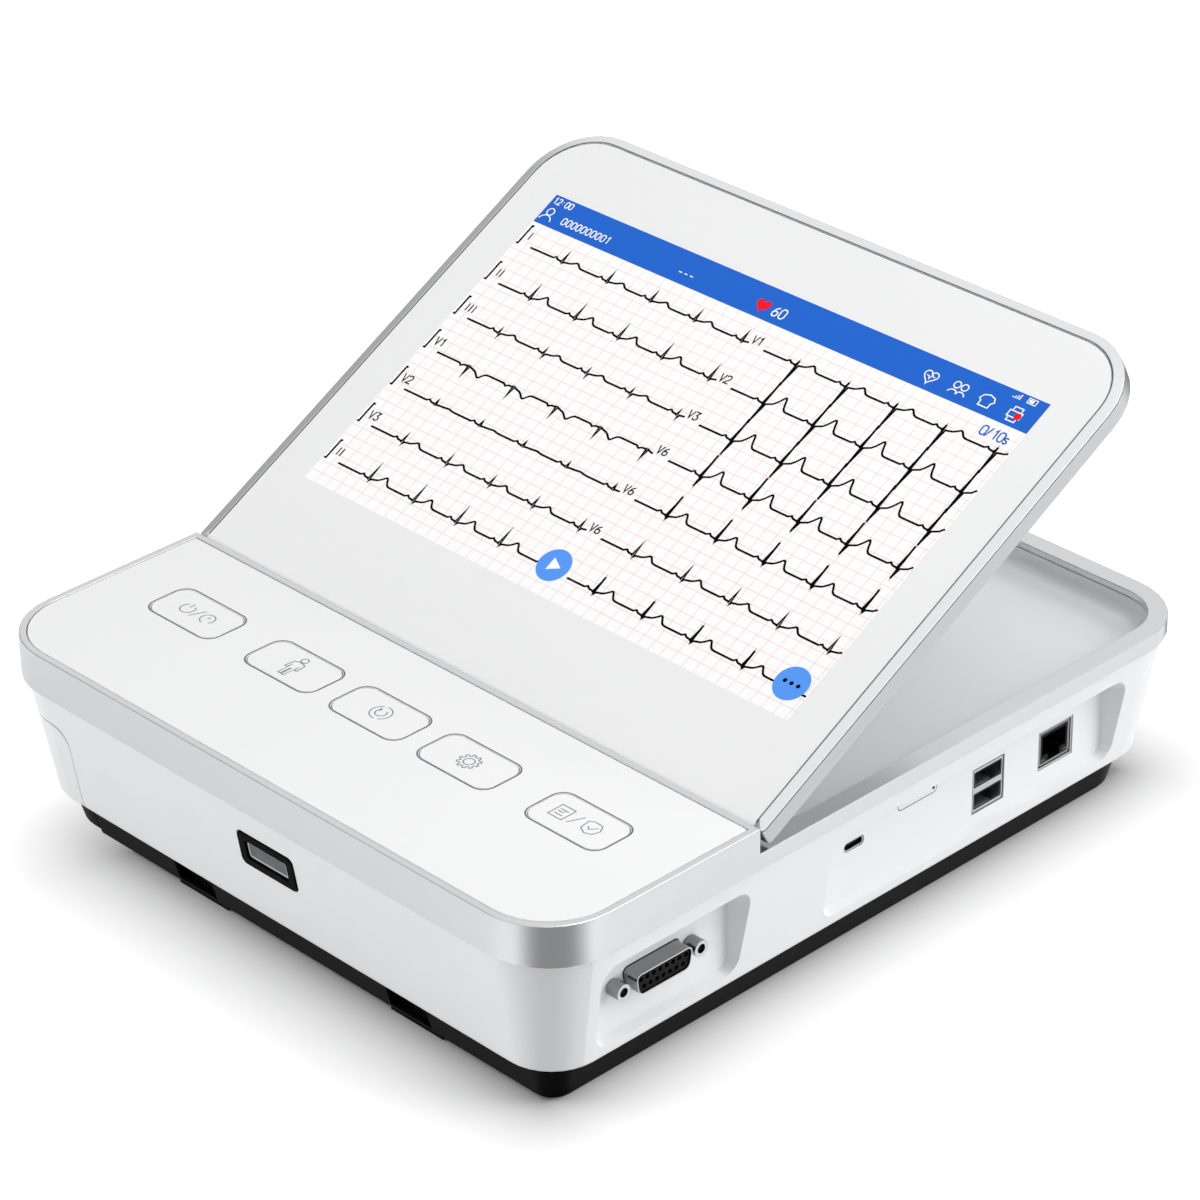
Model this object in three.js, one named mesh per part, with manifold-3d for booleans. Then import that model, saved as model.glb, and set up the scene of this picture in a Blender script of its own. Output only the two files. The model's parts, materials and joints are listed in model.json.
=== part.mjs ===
// A portable ECG machine: a tapered housing that holds a thermal printer with its paper drawer,
// a deck with five keys, and a touch screen in a lid that tilts up from a shallow tray.
// Millimetres. X to the right, Y to the back, Z up, origin on the table under the middle.
import * as THREE from 'three';
import { mergeVertices } from 'three/addons/utils/BufferGeometryUtils.js';
import Module from 'manifold-3d';

const wasm = await Module();
wasm.setup();

// Driving dimensions of the whole machine.
const machine = { width: 266, depth: 300, corner: 26, deckDepth: 90, screenTilt: 28.5 };
const halfWidth = machine.width / 2;
const halfDepth = machine.depth / 2;
const hingeLine = -halfDepth + machine.deckDepth;
const level = { footPad: 1.2, panTop: 13.2, bandFoot: 58.2, rim: 64.2, deck: 73.2 };
const gap = 0.3;
const overrun = 1;
const turnSteps = 8;
const roundSides = 20;
const boreSides = 12;
const contactSides = 8;
const filletSteps = 4;

// How far pieces stand in from the outer sides, and from the front and the back.
const fromSide = {
  ioBoard: 35,
  mainBoardLeft: 73,
  mainBoardRight: 41,
  battery: 61,
  speaker: 61,
  platen: 23,
  paper: 35,
  runner: 33,
  rail: 19,
  hinge: 37,
  bumper: 29,
  panel: 18.5,
};
const fromEnd = { ioBoardFront: 26, ioBoardBack: 38, mainBoard: 30, speaker: 64, powerBoard: 25, drawer: 41 };
const behindHinge = { mainBoard: 20 };

// Places as shares of the machine's width or depth, from its middle.
const keyShares = { power: -0.3383, patient: -0.1556, copy: 0, setup: 0.1556, record: 0.3402 };
const rearShares = { inlet: 0.2932, earthPost: 0.1654, vent: -0.1729, powerBoard: -0.0188 };
const bayShares = { patientFront: -0.4067, patientBack: -0.2073, socketFront: -0.0733, socketBack: 0.3853 };
const socketShares = { patient: -0.318, usbC: -0.01633, card: 0.08267, usbA: 0.19733, network: 0.308 };
const atWidth = (share) => share * machine.width;
const atDepth = (share) => share * machine.depth;

// Sizes of each piece.
const pan = {
  wall: 2.2,
  floor: 2.4,
  inset: 12,
  footInset: 15.6,
  corner: 19,
  footCorner: 15,
  frontCorner: 9.5,
  frontFootCorner: 7,
  post: 9,
};
const lug = { width: 24, drop: 1, reach: 5, pocketWidth: 19, centre: 2.7, spacing: 103, shift: 2 };
const pocketRib = { height: 0.7, pitch: 1.5, depth: 1.6 };
const strip = { rise: 1.5 };
const grille = { count: 5, pitch: 4, width: 1.8, length: 18 };
const housing = {
  wall: 2.5,
  topInset: 1.8,
  footInset: 9.3,
  corner: 24,
  footCorner: 17.5,
  footRound: 1.2,
  footLip: 1.6,
  lipRise: 3,
};
const recess = { floor: 12, top: 48, bottom: 18.8, corner: 4.5, draft: 15, flare: 12 };
const patientBay = { front: atDepth(bayShares.patientFront), back: atDepth(bayShares.patientBack) };
const socketBay = { front: atDepth(bayShares.socketFront), back: atDepth(bayShares.socketBack) };
const frame = {
  ring: 2.6,
  ledge: 2,
  ledgeDrop: 2.8,
  shelf: 7,
  rim: 7,
  rimPlate: 2.5,
  strip: 10,
  trayCorner: 18,
};
const deck = { thickness: 2.5, boss: 5, bossInset: 19, edge: 0.25 };
const key = {
  width: 31.8,
  depth: 17.7,
  corner: 4.6,
  clearance: 0.4,
  flange: 1,
  flangeHeight: 0.8,
  travel: 0.6,
  back: 35.8,
};
const keyNames = Object.keys(keyShares);
const keyPlaces = keyNames.map((name) => atWidth(keyShares[name]));
const keypad = { sheet: 0.7, dome: 7, domeHeight: 0.7, board: 1.6, boardDepth: 24, boardInset: 15 };
const tray = { floor: 54.6, wall: 2, round: 6.5, boss: 6, bossDrop: 2.9 };
const lid = {
  length: machine.depth - machine.deckDepth - frame.rim,
  thickness: 8.2,
  corner: 25,
  footCorner: 1.5,
  wall: 2.2,
  back: 1.8,
  round: 1,
};
const lidFront = { glass: 1, bezel: 3.9, slope: 0.75, land: 0.6, fit: 0.2, seam: 0.3 };
const hinge = {
  place: halfWidth - fromSide.hinge,
  setBack: 2.6,
  depth: 2.9,
  knuckle: 1.6,
  pin: 0.8,
  bore: 0.95,
  middle: 8,
  side: 6,
};
const hingeFit = {
  deckGap: 0.3,
  proud: 0.6,
  notch: 9,
  foot: 1.2,
  footDepth: 8.6,
  web: 2.6,
  leaf: 1.3,
  leafEnd: 27,
};
const bumper = { place: halfWidth - fromSide.bumper, fromTop: 14, radius: 4, height: 1.1 };
const panel = { width: machine.width - 2 * fromSide.panel, thickness: 3.4, fromHinge: 30, fromTop: 24 };
const speaker = {
  x: halfWidth - fromSide.speaker,
  y: -halfDepth + fromEnd.speaker,
  radius: 14,
  height: 8,
  magnet: 8,
  magnetHeight: 4,
};
const battery = {
  x: halfWidth - fromSide.battery,
  width: 34,
  length: 118,
  height: 22,
  doorMargin: 2,
  doorThickness: 2,
  lip: 1.6,
  aside: 11,
  behindSpeaker: 13,
};
battery.front = speaker.y + speaker.radius + battery.behindSpeaker;
const drawer = {
  split: 33.5,
  top: 44.6,
  slot: 1,
  corner: 7,
  reach: battery.x - battery.width / 2 - battery.aside,
  half: halfDepth - fromEnd.drawer,
  wall: 1.5,
  height: 18,
};
const runner = { depth: 2.5, height: 3, level: 27, front: -halfWidth + fromSide.runner, short: 24 };
const rail = { thickness: 4.2, front: -halfWidth + fromSide.rail, short: 4, web: 3 };
const paper = { front: -halfWidth + fromSide.paper, endFit: 2, sideFit: 4, height: 15.5 };
const platen = {
  radius: 7.5,
  sideFit: 3,
  shaft: 2.4,
  bore: 2.7,
  x: -halfWidth + fromSide.platen,
  height: 35.4,
};
platen.length = 2 * (drawer.half - platen.sideFit);
const ear = { reach: 5.5, rise: 5 };
const gear = {
  module: 1,
  platenTeeth: 18,
  pinionTeeth: 12,
  face: 4,
  tip: 0.8,
  root: 1.1,
  aside: 5,
  mesh: 0.35,
};
gear.start = drawer.half + gear.aside;
const gearShares = { rootHalfShare: 0.29, tipHalfShare: 0.14 };
const meshTurn = { direction: -40 };
const motor = { radius: 12, length: 14, shaft: 1.2, cradle: 16 };
const printHead = { width: 12, thickness: 1.6, bracketWidth: 18, bracketThickness: 1.2, lead: 4 };
const board = { thickness: 1.6 };
const mainBoard = {
  front: hingeLine + behindHinge.mainBoard,
  back: halfDepth - fromEnd.mainBoard,
  left: -halfWidth + fromSide.mainBoardLeft,
  right: halfWidth - fromSide.mainBoardRight,
  chip: 22,
  chipHeight: 1.2,
};
const ioBoard = {
  x: halfWidth - fromSide.ioBoard,
  front: -halfDepth + fromEnd.ioBoardFront,
  back: halfDepth - fromEnd.ioBoardBack,
  bottom: 16,
  top: 51,
};
const dsub = {
  y: atDepth(socketShares.patient),
  z: 35.2,
  width: 24.6,
  height: 8,
  corner: 2.5,
  wall: 0.5,
  reach: 6,
  flangeWidth: 39.2,
};
const dsubBack = {
  flangeHeight: 12.5,
  flange: 1,
  hole: 0.9,
  holeDepth: 4,
  holePitch: 2.76,
  rowPitch: 2.84,
  slant: 10,
};
const jackScrew = {
  spacing: 33.3,
  radius: 2.9,
  length: 4.9,
  bore: 1.6,
  boreDepth: 4,
  shank: 1.4,
  hole: 1.8,
};
const usbC = {
  y: atDepth(socketShares.usbC),
  z: 37.1,
  width: 9,
  height: 3.2,
  wall: 0.4,
  depth: 6,
  tongue: 0.7,
  tongueWidth: 6.6,
};
const card = {
  y: atDepth(socketShares.card),
  z: 41.5,
  width: 18.2,
  height: 3.3,
  cap: 2,
  blade: 0.9,
  bladeWidth: 12.4,
  bladeLength: 14,
};
const cardReader = { width: 16, height: 3, length: 19 };
const usbA = {
  y: atDepth(socketShares.usbA),
  z: 30.7,
  width: 15,
  height: 16.6,
  portWidth: 12.6,
  portHeight: 5.1,
  portRise: 4.1,
  depth: 12,
};
const usbTongue = { width: 10, thickness: 1.9, length: 9 };
const network = {
  y: atDepth(socketShares.network),
  z: 31.9,
  width: 16.8,
  height: 14.4,
  portWidth: 11.8,
  portHeight: 7.2,
  keyWidth: 6,
  keyDrop: 2.6,
};
const networkBody = { wall: 0.5, depth: 13, back: 1.5, portRise: 0.8 };
const scanner = {
  x: 0.3,
  z: 40.5,
  width: 26.5,
  height: 13.4,
  glassWidth: 19.8,
  glassHeight: 7.2,
  corner: 2.4,
};
const scannerBody = {
  depth: 4,
  proud: 0.4,
  glass: 1.2,
  moduleWidth: 22,
  moduleHeight: 11,
  moduleDepth: 18,
  sharp: 0.6,
};
const powerBoard = {
  x: atWidth(rearShares.powerBoard),
  y: halfDepth - fromEnd.powerBoard,
  width: 96,
  depth: 18,
  height: 5.6,
  transformer: 14,
  transformerHeight: 12,
};
const inlet = {
  x: atWidth(rearShares.inlet),
  z: 34.2,
  width: 27,
  height: 19.5,
  depth: 16,
  flange: 1.6,
  margin: 2,
  pin: 1,
  corner: 3.5,
};
const inletWell = { wall: 2, back: 2, pinSpread: 7, pinDrop: 3.5, pinHeight: 4, pinLength: 7 };
const earthPost = {
  x: atWidth(rearShares.earthPost),
  z: 34.2,
  radius: 3,
  collar: 5,
  collarHeight: 1.6,
  length: 10,
  tip: 2.4,
};
const vent = { count: 9, width: 2.2, pitch: 6, height: 16, x: atWidth(rearShares.vent), z: 35.2 };
const foot = { radius: 8, seat: 1.2, fit: 0.2, insetX: 36, insetY: 34 };

// Positions worked out from those sizes.
const panFloor = level.footPad + pan.floor;
const housingFoot = level.panTop + gap;
const housingTop = level.bandFoot - gap;
const recessX = halfWidth - recess.floor;
const recessInside = recessX - housing.wall;
const knuckleReach = Math.hypot(hinge.setBack, hinge.depth);
const axisY = hingeLine + knuckleReach + hingeFit.deckGap;
const axisZ = level.deck + hingeFit.proud - hinge.depth;
const boardFace = ioBoard.x + board.thickness + gap;
const trayHoleX = halfWidth - frame.rim;
const trayHoleBack = halfDepth - frame.rim;
const trayHoleFront = hingeLine + frame.strip;
const rimUnderside = level.rim - frame.rimPlate;

const finish = {
  white: { color: 0xf1f2f3, roughness: 0.45, metalness: 0 },
  silver: { color: 0xc9cbcf, roughness: 0.35, metalness: 0.6 },
  brushed: { color: 0xcfd1d4, roughness: 0.38, metalness: 0.8 },
  black: { color: 0x1c1d1f, roughness: 0.55, metalness: 0 },
  glass: { color: 0xececec, roughness: 0.12, metalness: 0 },
  steel: { color: 0xb4b6b8, roughness: 0.3, metalness: 1 },
  rubber: { color: 0x202020, roughness: 0.85, metalness: 0 },
  board: { color: 0x1d5a3a, roughness: 0.55, metalness: 0 },
  paper: { color: 0xf6f3ee, roughness: 0.85, metalness: 0 },
  nylon: { color: 0xe4e1d6, roughness: 0.5, metalness: 0 },
  panel: { color: 0x2f3236, roughness: 0.3, metalness: 0.1 },
  cell: { color: 0x2b4c7a, roughness: 0.5, metalness: 0 },
};

const ecgMachine = new THREE.Group();

// Adds one named mesh to a group.
function addPart(parent, name, geometry, look) {
  const mesh = new THREE.Mesh(geometry, new THREE.MeshStandardMaterial(look));
  mesh.name = name;
  parent.add(mesh);
  return mesh;
}

// Reverses the faces of a closed geometry where they point inwards.
function facingOut(geometry) {
  const place = geometry.getAttribute('position');
  const index = geometry.index.array;
  const corners = [new THREE.Vector3(), new THREE.Vector3(), new THREE.Vector3()];
  let volume = 0;
  for (let i = 0; i < index.length; i += 3) {
    corners.forEach((corner, k) => corner.fromBufferAttribute(place, index[i + k]));
    volume += corners[0].dot(corners[1].cross(corners[2]));
  }
  if (volume < 0) {
    for (let i = 0; i < index.length; i += 3) {
      [index[i + 1], index[i + 2]] = [index[i + 2], index[i + 1]];
    }
  }
  return geometry;
}

// A geometry as a solid that can be joined and cut.
function solid(geometry) {
  const bare = geometry.clone();
  bare.deleteAttribute('normal');
  bare.deleteAttribute('uv');
  const merged = mergeVertices(bare, 1e-4);
  const vertProperties = new Float32Array(merged.getAttribute('position').array);
  const triVerts = new Uint32Array(merged.index.array);
  return new wasm.Manifold(new wasm.Mesh({ numProp: 3, vertProperties, triVerts }));
}

function fromSolid(made) {
  const { vertProperties, triVerts } = made.getMesh();
  const geometry = new THREE.BufferGeometry();
  geometry.setAttribute('position', new THREE.BufferAttribute(new Float32Array(vertProperties), 3));
  geometry.setIndex(new THREE.BufferAttribute(new Uint32Array(triVerts), 1));
  geometry.computeVertexNormals();
  return geometry;
}

function cutFrom(base, ...tools) {
  return fromSolid(tools.reduce((rest, tool) => rest.subtract(solid(tool)), solid(base)));
}

function joinAll(...geometries) {
  return fromSolid(geometries.map(solid).reduce((sum, next) => sum.add(next)));
}

function common(first, second) {
  return fromSolid(solid(first).intersect(solid(second)));
}

// The points of a rounded rectangle, with one radius for its front and one for its back corners.
function roundedPoints(box, frontRadius, backRadius = frontRadius) {
  const points = [];
  const turns = [
    [box.u[1], box.v[1], -1, -1, backRadius, 0],
    [box.u[0], box.v[1], 1, -1, backRadius, 1],
    [box.u[0], box.v[0], 1, 1, frontRadius, 2],
    [box.u[1], box.v[0], -1, 1, frontRadius, 3],
  ];
  for (const [u, v, inU, inV, radius, quarter] of turns) {
    for (let i = 0; i <= turnSteps; i += 1) {
      const angle = (quarter + i / turnSteps) * Math.PI / 2;
      points.push([u + radius * (inU + Math.cos(angle)), v + radius * (inV + Math.sin(angle))]);
    }
  }
  return points;
}

const along = {
  x: (u, v, w) => [w, u, v],
  y: (u, v, w) => [u, w, v],
  z: (u, v, w) => [u, v, w],
};

// The triangles that fill a closed outline, turned the same way round as its points.
function fillOutline(points) {
  const contour = points.map(([u, v]) => new THREE.Vector2(u, v));
  const turn = Math.sign(THREE.ShapeUtils.area(contour));
  return THREE.ShapeUtils.triangulateShape(contour, []).map(([a, b, c]) => {
    const [first, second, third] = [contour[a], contour[b], contour[c]];
    return Math.sign(THREE.ShapeUtils.area([first, second, third])) === turn ? [a, b, c] : [a, c, b];
  });
}

// A closed body through rings of points, each a list of [u, v] at a depth w along an axis.
// It is capped at its first and last ring, or joined round on itself.
function ringBody(rings, axis = 'z', looped = false) {
  const sides = rings[0].points.length;
  const places = rings.flatMap(({ points, w }) => points.flatMap(([u, v]) => along[axis](u, v, w)));
  const index = [];
  const steps = looped ? rings.length : rings.length - 1;
  for (let ring = 0; ring < steps; ring += 1) {
    const next = (ring + 1) % rings.length;
    for (let i = 0; i < sides; i += 1) {
      const j = (i + 1) % sides;
      const [a, b, c, d] = [ring * sides + i, ring * sides + j, next * sides + j, next * sides + i];
      index.push(a, b, c, a, c, d);
    }
  }
  if (!looped) {
    const last = (rings.length - 1) * sides;
    for (const [a, b, c] of fillOutline(rings[0].points)) {
      index.push(a, c, b);
    }
    for (const [a, b, c] of fillOutline(rings[rings.length - 1].points)) {
      index.push(last + a, last + b, last + c);
    }
  }
  const geometry = new THREE.BufferGeometry();
  geometry.setAttribute('position', new THREE.Float32BufferAttribute(places, 3));
  geometry.setIndex(index);
  return facingOut(geometry);
}

// A straight block between two limits on each axis, with rounded edges along one axis.
function block(x, y, z, radius = 0, axis = 'z') {
  const [u, v, w] = { x: [y, z, x], y: [x, z, y], z: [x, y, z] }[axis];
  const points = radius > 0
    ? roundedPoints({ u, v }, radius)
    : [[u[1], v[1]], [u[0], v[1]], [u[0], v[0]], [u[1], v[0]]];
  return ringBody([{ points, w: w[0] }, { points, w: w[1] }], axis);
}

const span = (centre, size) => [centre - size / 2, centre + size / 2];

function circlePoints(u, v, radius, sides = roundSides) {
  return Array.from({ length: sides }, (_, i) => {
    const angle = (i + 1 / 2) / sides * 2 * Math.PI;
    return [u + radius * Math.cos(angle), v + radius * Math.sin(angle)];
  });
}

// A stepped round bar: each step is [radius, start, end], and neighbours share an end.
function roundBar(u, v, steps, axis, sides = roundSides) {
  const rings = steps.flatMap(([radius, start, end]) => [
    { points: circlePoints(u, v, radius, sides), w: start },
    { points: circlePoints(u, v, radius, sides), w: end },
  ]);
  return ringBody(rings, axis);
}

// The outline of the machine drawn in by an inset, at a height.
function bodyRing(inset, radius, height, frontRadius = radius) {
  const box = { u: [-halfWidth + inset, halfWidth - inset], v: [-halfDepth + inset, halfDepth - inset] };
  return { points: roundedPoints(box, frontRadius, radius), w: height };
}

// How far the white wall stands in from the machine's outline at a height.
function housingInset(height) {
  const share = (height - housingFoot) / (housingTop - housingFoot);
  return housing.footInset + (housing.topInset - housing.footInset) * share;
}

// The white wall all round, with its lower edge turned in over the black pan.
function housingWall() {
  const { wall, footInset, topInset, corner, footCorner, footRound, footLip, lipRise } = housing;
  const shoulder = housingFoot + footRound;
  const lipTop = housingFoot + lipRise;
  return ringBody([
    bodyRing(footInset + footRound / 2, footCorner, housingFoot),
    bodyRing(housingInset(shoulder), footCorner, shoulder),
    bodyRing(topInset, corner, housingTop),
    bodyRing(topInset + wall, corner - wall, housingTop),
    bodyRing(housingInset(lipTop) + wall, footCorner - wall, lipTop),
    bodyRing(footInset + wall + footLip, footCorner - wall, housingFoot),
  ], 'z', true);
}

// The region of the left end that belongs to the paper drawer's front, seen along Y.
function drawerRegion(grow) {
  const right = -halfWidth + drawer.split + grow;
  const top = drawer.top + grow + (grow > 0 ? drawer.slot - gap : 0);
  const radius = drawer.corner;
  const far = halfWidth + drawer.split;
  const points = [[-far, -drawer.top], [right, -drawer.top], [right, top - radius]];
  for (let i = 1; i <= turnSteps; i += 1) {
    const angle = i / turnSteps * Math.PI / 2;
    points.push([right - radius + radius * Math.cos(angle), top - radius + radius * Math.sin(angle)]);
  }
  points.push([-far, top]);
  return ringBody([{ points, w: -machine.depth }, { points, w: machine.depth }], 'y');
}

// A pocket in the right wall, deep at its floor and flared towards the outside.
function bayCut(bay, grow) {
  const flare = recess.flare * Math.tan(THREE.MathUtils.degToRad(recess.draft));
  const ring = (more, x) => ({
    points: roundedPoints({
      u: [bay.front - more, bay.back + more],
      v: [recess.bottom - more, recess.top + more],
    }, recess.corner + more),
    w: x,
  });
  return ringBody([ring(grow, recessX - grow), ring(grow + flare, recessX + recess.flare)], 'x');
}

function stadium(y, z, width, height, from, to) {
  return block([from, to], span(y, width), span(z, height), height / 2 - height / 100, 'x');
}

// The D outline of the patient socket, wider at its top row.
function dOutline(width, height, corner) {
  const lean = height / 2 * Math.tan(THREE.MathUtils.degToRad(dsubBack.slant));
  const box = { u: span(dsub.y, width), v: span(dsub.z, height) };
  return roundedPoints(box, corner).map(([u, v]) => {
    const rise = (v - dsub.z) / (height / 2);
    const side = (u - dsub.y) / (width / 2);
    return [u + side * lean * (rise - 1), v];
  });
}

function dBody(width, height, corner, from, to) {
  const points = dOutline(width, height, corner);
  return ringBody([{ points, w: from }, { points, w: to }], 'x');
}

const bayPockets = (grow) => [bayCut(patientBay, grow), bayCut(socketBay, grow)];

// How far the black pan's side stands in from the machine's outline at a height.
function panInset(height) {
  const share = (height - level.footPad) / (level.panTop - level.footPad);
  return pan.footInset + (pan.inset - pan.footInset) * share;
}

// Its front corners are tight, apart from the one on the drawer.
const tightFront = { top: pan.frontCorner, foot: pan.frontFootCorner };
const roundFront = { top: pan.corner, foot: pan.footCorner };

function panRing(inside, height, front = tightFront) {
  const share = (height - level.footPad) / (level.panTop - level.footPad);
  const rounding = ({ top, foot: low }) => low + (top - low) * share - inside;
  return bodyRing(panInset(height) + inside, rounding(roundFront), height, rounding(front));
}

// The part of the pan's side that rides on the drawer, to the left of its split.
function stripSide(grow) {
  const right = -halfWidth + drawer.split + grow;
  return block([-machine.width, right], [-machine.depth, machine.depth], [-overrun, level.deck]);
}

function makeFootStrip() {
  const bottom = level.footPad + strip.rise;
  const side = ringBody([
    panRing(0, bottom, roundFront),
    panRing(0, level.panTop, roundFront),
    panRing(pan.wall, level.panTop, roundFront),
    panRing(pan.wall, bottom, roundFront),
  ], 'z', true);
  return common(side, stripSide(0));
}

// The black pan under the machine, with front lugs, a battery opening and posts for what it carries.
function makePan() {
  const shell = ringBody([
    panRing(0, level.footPad),
    panRing(0, level.panTop),
    panRing(pan.wall, level.panTop),
    panRing(pan.wall, panFloor),
  ]);
  const pieces = [shell];
  const frontFoot = -halfDepth + pan.footInset;
  const pocketBack = frontFoot + lug.reach - pan.wall;
  const pocketFoot = panFloor - pan.floor / 2;
  const post = (x, y, top) => block(span(x, pan.post), span(y, pan.post), [panFloor - gap, top]);
  const lugPlaces = [lug.centre - lug.spacing / 2, lug.centre + lug.spacing / 2];
  for (const x of lugPlaces) {
    pieces.push(block(
      span(x + lug.shift, lug.width),
      [frontFoot, frontFoot + lug.reach],
      [level.footPad - lug.drop, level.panTop],
    ));
  }
  for (const y of [ioBoard.front, ioBoard.back]) {
    pieces.push(post(ioBoard.x, y - Math.sign(y) * pan.post, ioBoard.bottom - gap));
  }
  for (const side of [-1, 1]) {
    const x = powerBoard.x + side * (powerBoard.width / 2 - pan.post);
    pieces.push(post(x, powerBoard.y, panFloor + powerBoard.height - gap));
  }
  const motorMiddle = gear.start + gear.face + overrun + motor.length / 2;
  pieces.push(post(motorPlace.x, motorMiddle, motorPlace.z - motor.radius - gap));
  const scannerMiddle = -halfDepth + housing.footInset + housing.wall + scannerBody.moduleDepth / 2;
  pieces.push(post(scanner.x, scannerMiddle, scanner.z - scannerBody.moduleHeight / 2 - gap));
  const keep = ringBody([
    panRing(pan.wall + gap, level.footPad - overrun, roundFront),
    panRing(pan.wall + gap, level.panTop, roundFront),
  ]);
  const cuts = [fromSolid(solid(stripSide(gap)).subtract(solid(keep)))];
  for (const x of lugPlaces) {
    cuts.push(block(
      span(x, lug.pocketWidth),
      [-halfDepth, pocketBack],
      [pocketFoot, level.panTop + overrun],
    ));
  }
  cuts.push(...batteryOpening());
  for (let i = 0; i < grille.count; i += 1) {
    const y = speaker.y + (i - (grille.count - 1) / 2) * grille.pitch;
    cuts.push(block(span(speaker.x, grille.length), span(y, grille.width), [0, panFloor + overrun]));
  }
  for (const [x, y] of footPlaces()) {
    cuts.push(roundBar(x, y, [[foot.radius + foot.fit, -overrun, level.footPad + foot.seat]], 'z'));
  }
  const ribs = lugPlaces.flatMap((x) => [1, 2, 3].map((place) => block(
    [x, x + lug.pocketWidth / 2 + gap],
    [pocketBack - pocketRib.depth, pocketBack + gap],
    span(pocketFoot + place * pocketRib.pitch, pocketRib.height),
  )));
  return joinAll(cutFrom(joinAll(...pieces), ...cuts), ...ribs);
}

function footPlaces() {
  const x = halfWidth - foot.insetX;
  const y = halfDepth - foot.insetY;
  return [[-x, -y], [x, -y], [x, y], [-x, y]];
}

const batterySpan = {
  x: span(battery.x, battery.width),
  y: [battery.front, battery.front + battery.length],
};

function grown([low, high], by) {
  return [low - by, high + by];
}

// The stepped opening in the pan's floor that the battery goes in through.
function batteryOpening() {
  const clear = battery.doorMargin + gap;
  const through = block(grown(batterySpan.x, gap), grown(batterySpan.y, gap), [0, panFloor + overrun]);
  const seat = block(
    grown(batterySpan.x, clear),
    grown(batterySpan.y, clear),
    [0, level.footPad + battery.lip],
  );
  return [through, seat];
}

const motorPlace = (() => {
  const centres = gear.module * (gear.platenTeeth + gear.pinionTeeth) / 2 + gear.mesh;
  const angle = THREE.MathUtils.degToRad(meshTurn.direction);
  return { x: platen.x + centres * Math.cos(angle), z: platen.height + centres * Math.sin(angle) };
})();

// The white housing: a tapered wall with the drawer's opening, two side bays and cut-outs for sockets.
function makeHousing() {
  const wall = solid(housingWall());
  const linings = bayPockets(housing.wall).map((lining) => {
    const inside = solid(ringBody([
      bodyRing(housing.footInset + housing.wall / 2, housing.footCorner, housingFoot),
      bodyRing(housing.topInset + housing.wall / 2, housing.corner, housingTop),
    ]));
    return solid(lining).intersect(inside);
  });
  let made = linings.reduce((sum, lining) => sum.add(lining), wall);
  const through = [recessInside - overrun, recessX + overrun];
  const wallHole = (y, z, width, height, radius = gap) => (
    block(through, span(y, width + 2 * gap), span(z, height + 2 * gap), radius, 'x')
  );
  const rearHole = [halfDepth - housing.footInset - housing.wall - overrun, halfDepth];
  const leaning = [-housing.wall * 2, housing.wall];
  const ventX = (i) => vent.x + (i - (vent.count - 1) / 2) * vent.pitch;
  const tools = [
    ...bayPockets(0),
    drawerRegion(gap),
    dBody(dsub.width + 2 * gap, dsub.height + 2 * gap, dsub.corner, ...through),
    ...jackPlaces().map((y) => roundBar(y, dsub.z, [[jackScrew.hole, ...through]], 'x')),
    stadium(usbC.y, usbC.z, usbC.width + 2 * gap, usbC.height + 2 * gap, ...through),
    stadium(card.y, card.z, card.width + 2 * gap, card.height + 2 * gap, ...through),
    wallHole(usbA.y, usbA.z, usbA.width, usbA.height),
    wallHole(network.y, network.z, network.width, network.height),
    onWall(1, inlet, inletBlock(gap, leaning)),
    onWall(1, earthPost, roundBar(0, 0, [[earthPost.radius + gap, ...leaning]], 'y')),
    ...Array.from({ length: vent.count }, (_, i) => (
      block(span(ventX(i), vent.width), rearHole, span(vent.z, vent.height))
    )),
  ];
  made = tools.reduce((rest, tool) => rest.subtract(solid(tool)), made);
  const window = scannerPiece(
    scanner.width + 2 * gap,
    scanner.height + 2 * gap,
    scanner.corner,
    [-housing.wall * 3, housing.wall * 2],
  );
  return fromSolid(made.subtract(solid(window)));
}

function jackPlaces() {
  return [dsub.y - jackScrew.spacing / 2, dsub.y + jackScrew.spacing / 2];
}

// Each side of the housing leans in towards its foot by this angle.
const wallLean = Math.atan2(housing.footInset - housing.topInset, housingTop - housingFoot);

// Sets a body drawn about the origin, with +Y outwards, on the front (-1) or rear (1) wall's face.
function onWall(side, place, made) {
  made.rotateX(-wallLean);
  if (side < 0) {
    made.rotateZ(Math.PI);
  }
  made.translate(place.x, side * (halfDepth - housingInset(place.z)), place.z);
  return made;
}

function scannerPiece(width, height, radius, depth) {
  return onWall(-1, scanner, block(span(0, width), depth, span(0, height), radius, 'y'));
}

function makeScannerBezel() {
  const { depth, proud, sharp } = scannerBody;
  const body = scannerPiece(scanner.width, scanner.height, scanner.corner, [-depth, proud]);
  const through = [-depth - overrun, proud + overrun];
  return cutFrom(body, scannerPiece(scanner.glassWidth, scanner.glassHeight, sharp, through));
}

function makeScannerWindow() {
  const width = scanner.glassWidth - 2 * gap;
  const height = scanner.glassHeight - 2 * gap;
  const { glass, proud, sharp } = scannerBody;
  return scannerPiece(width, height, sharp, [-glass - proud, -proud]);
}

function makeScannerModule() {
  const face = -halfDepth + housing.footInset + housing.wall + gap;
  return block(
    span(scanner.x, scannerBody.moduleWidth),
    [face, face + scannerBody.moduleDepth + pan.post / 2],
    span(scanner.z, scannerBody.moduleHeight),
  );
}

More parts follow.
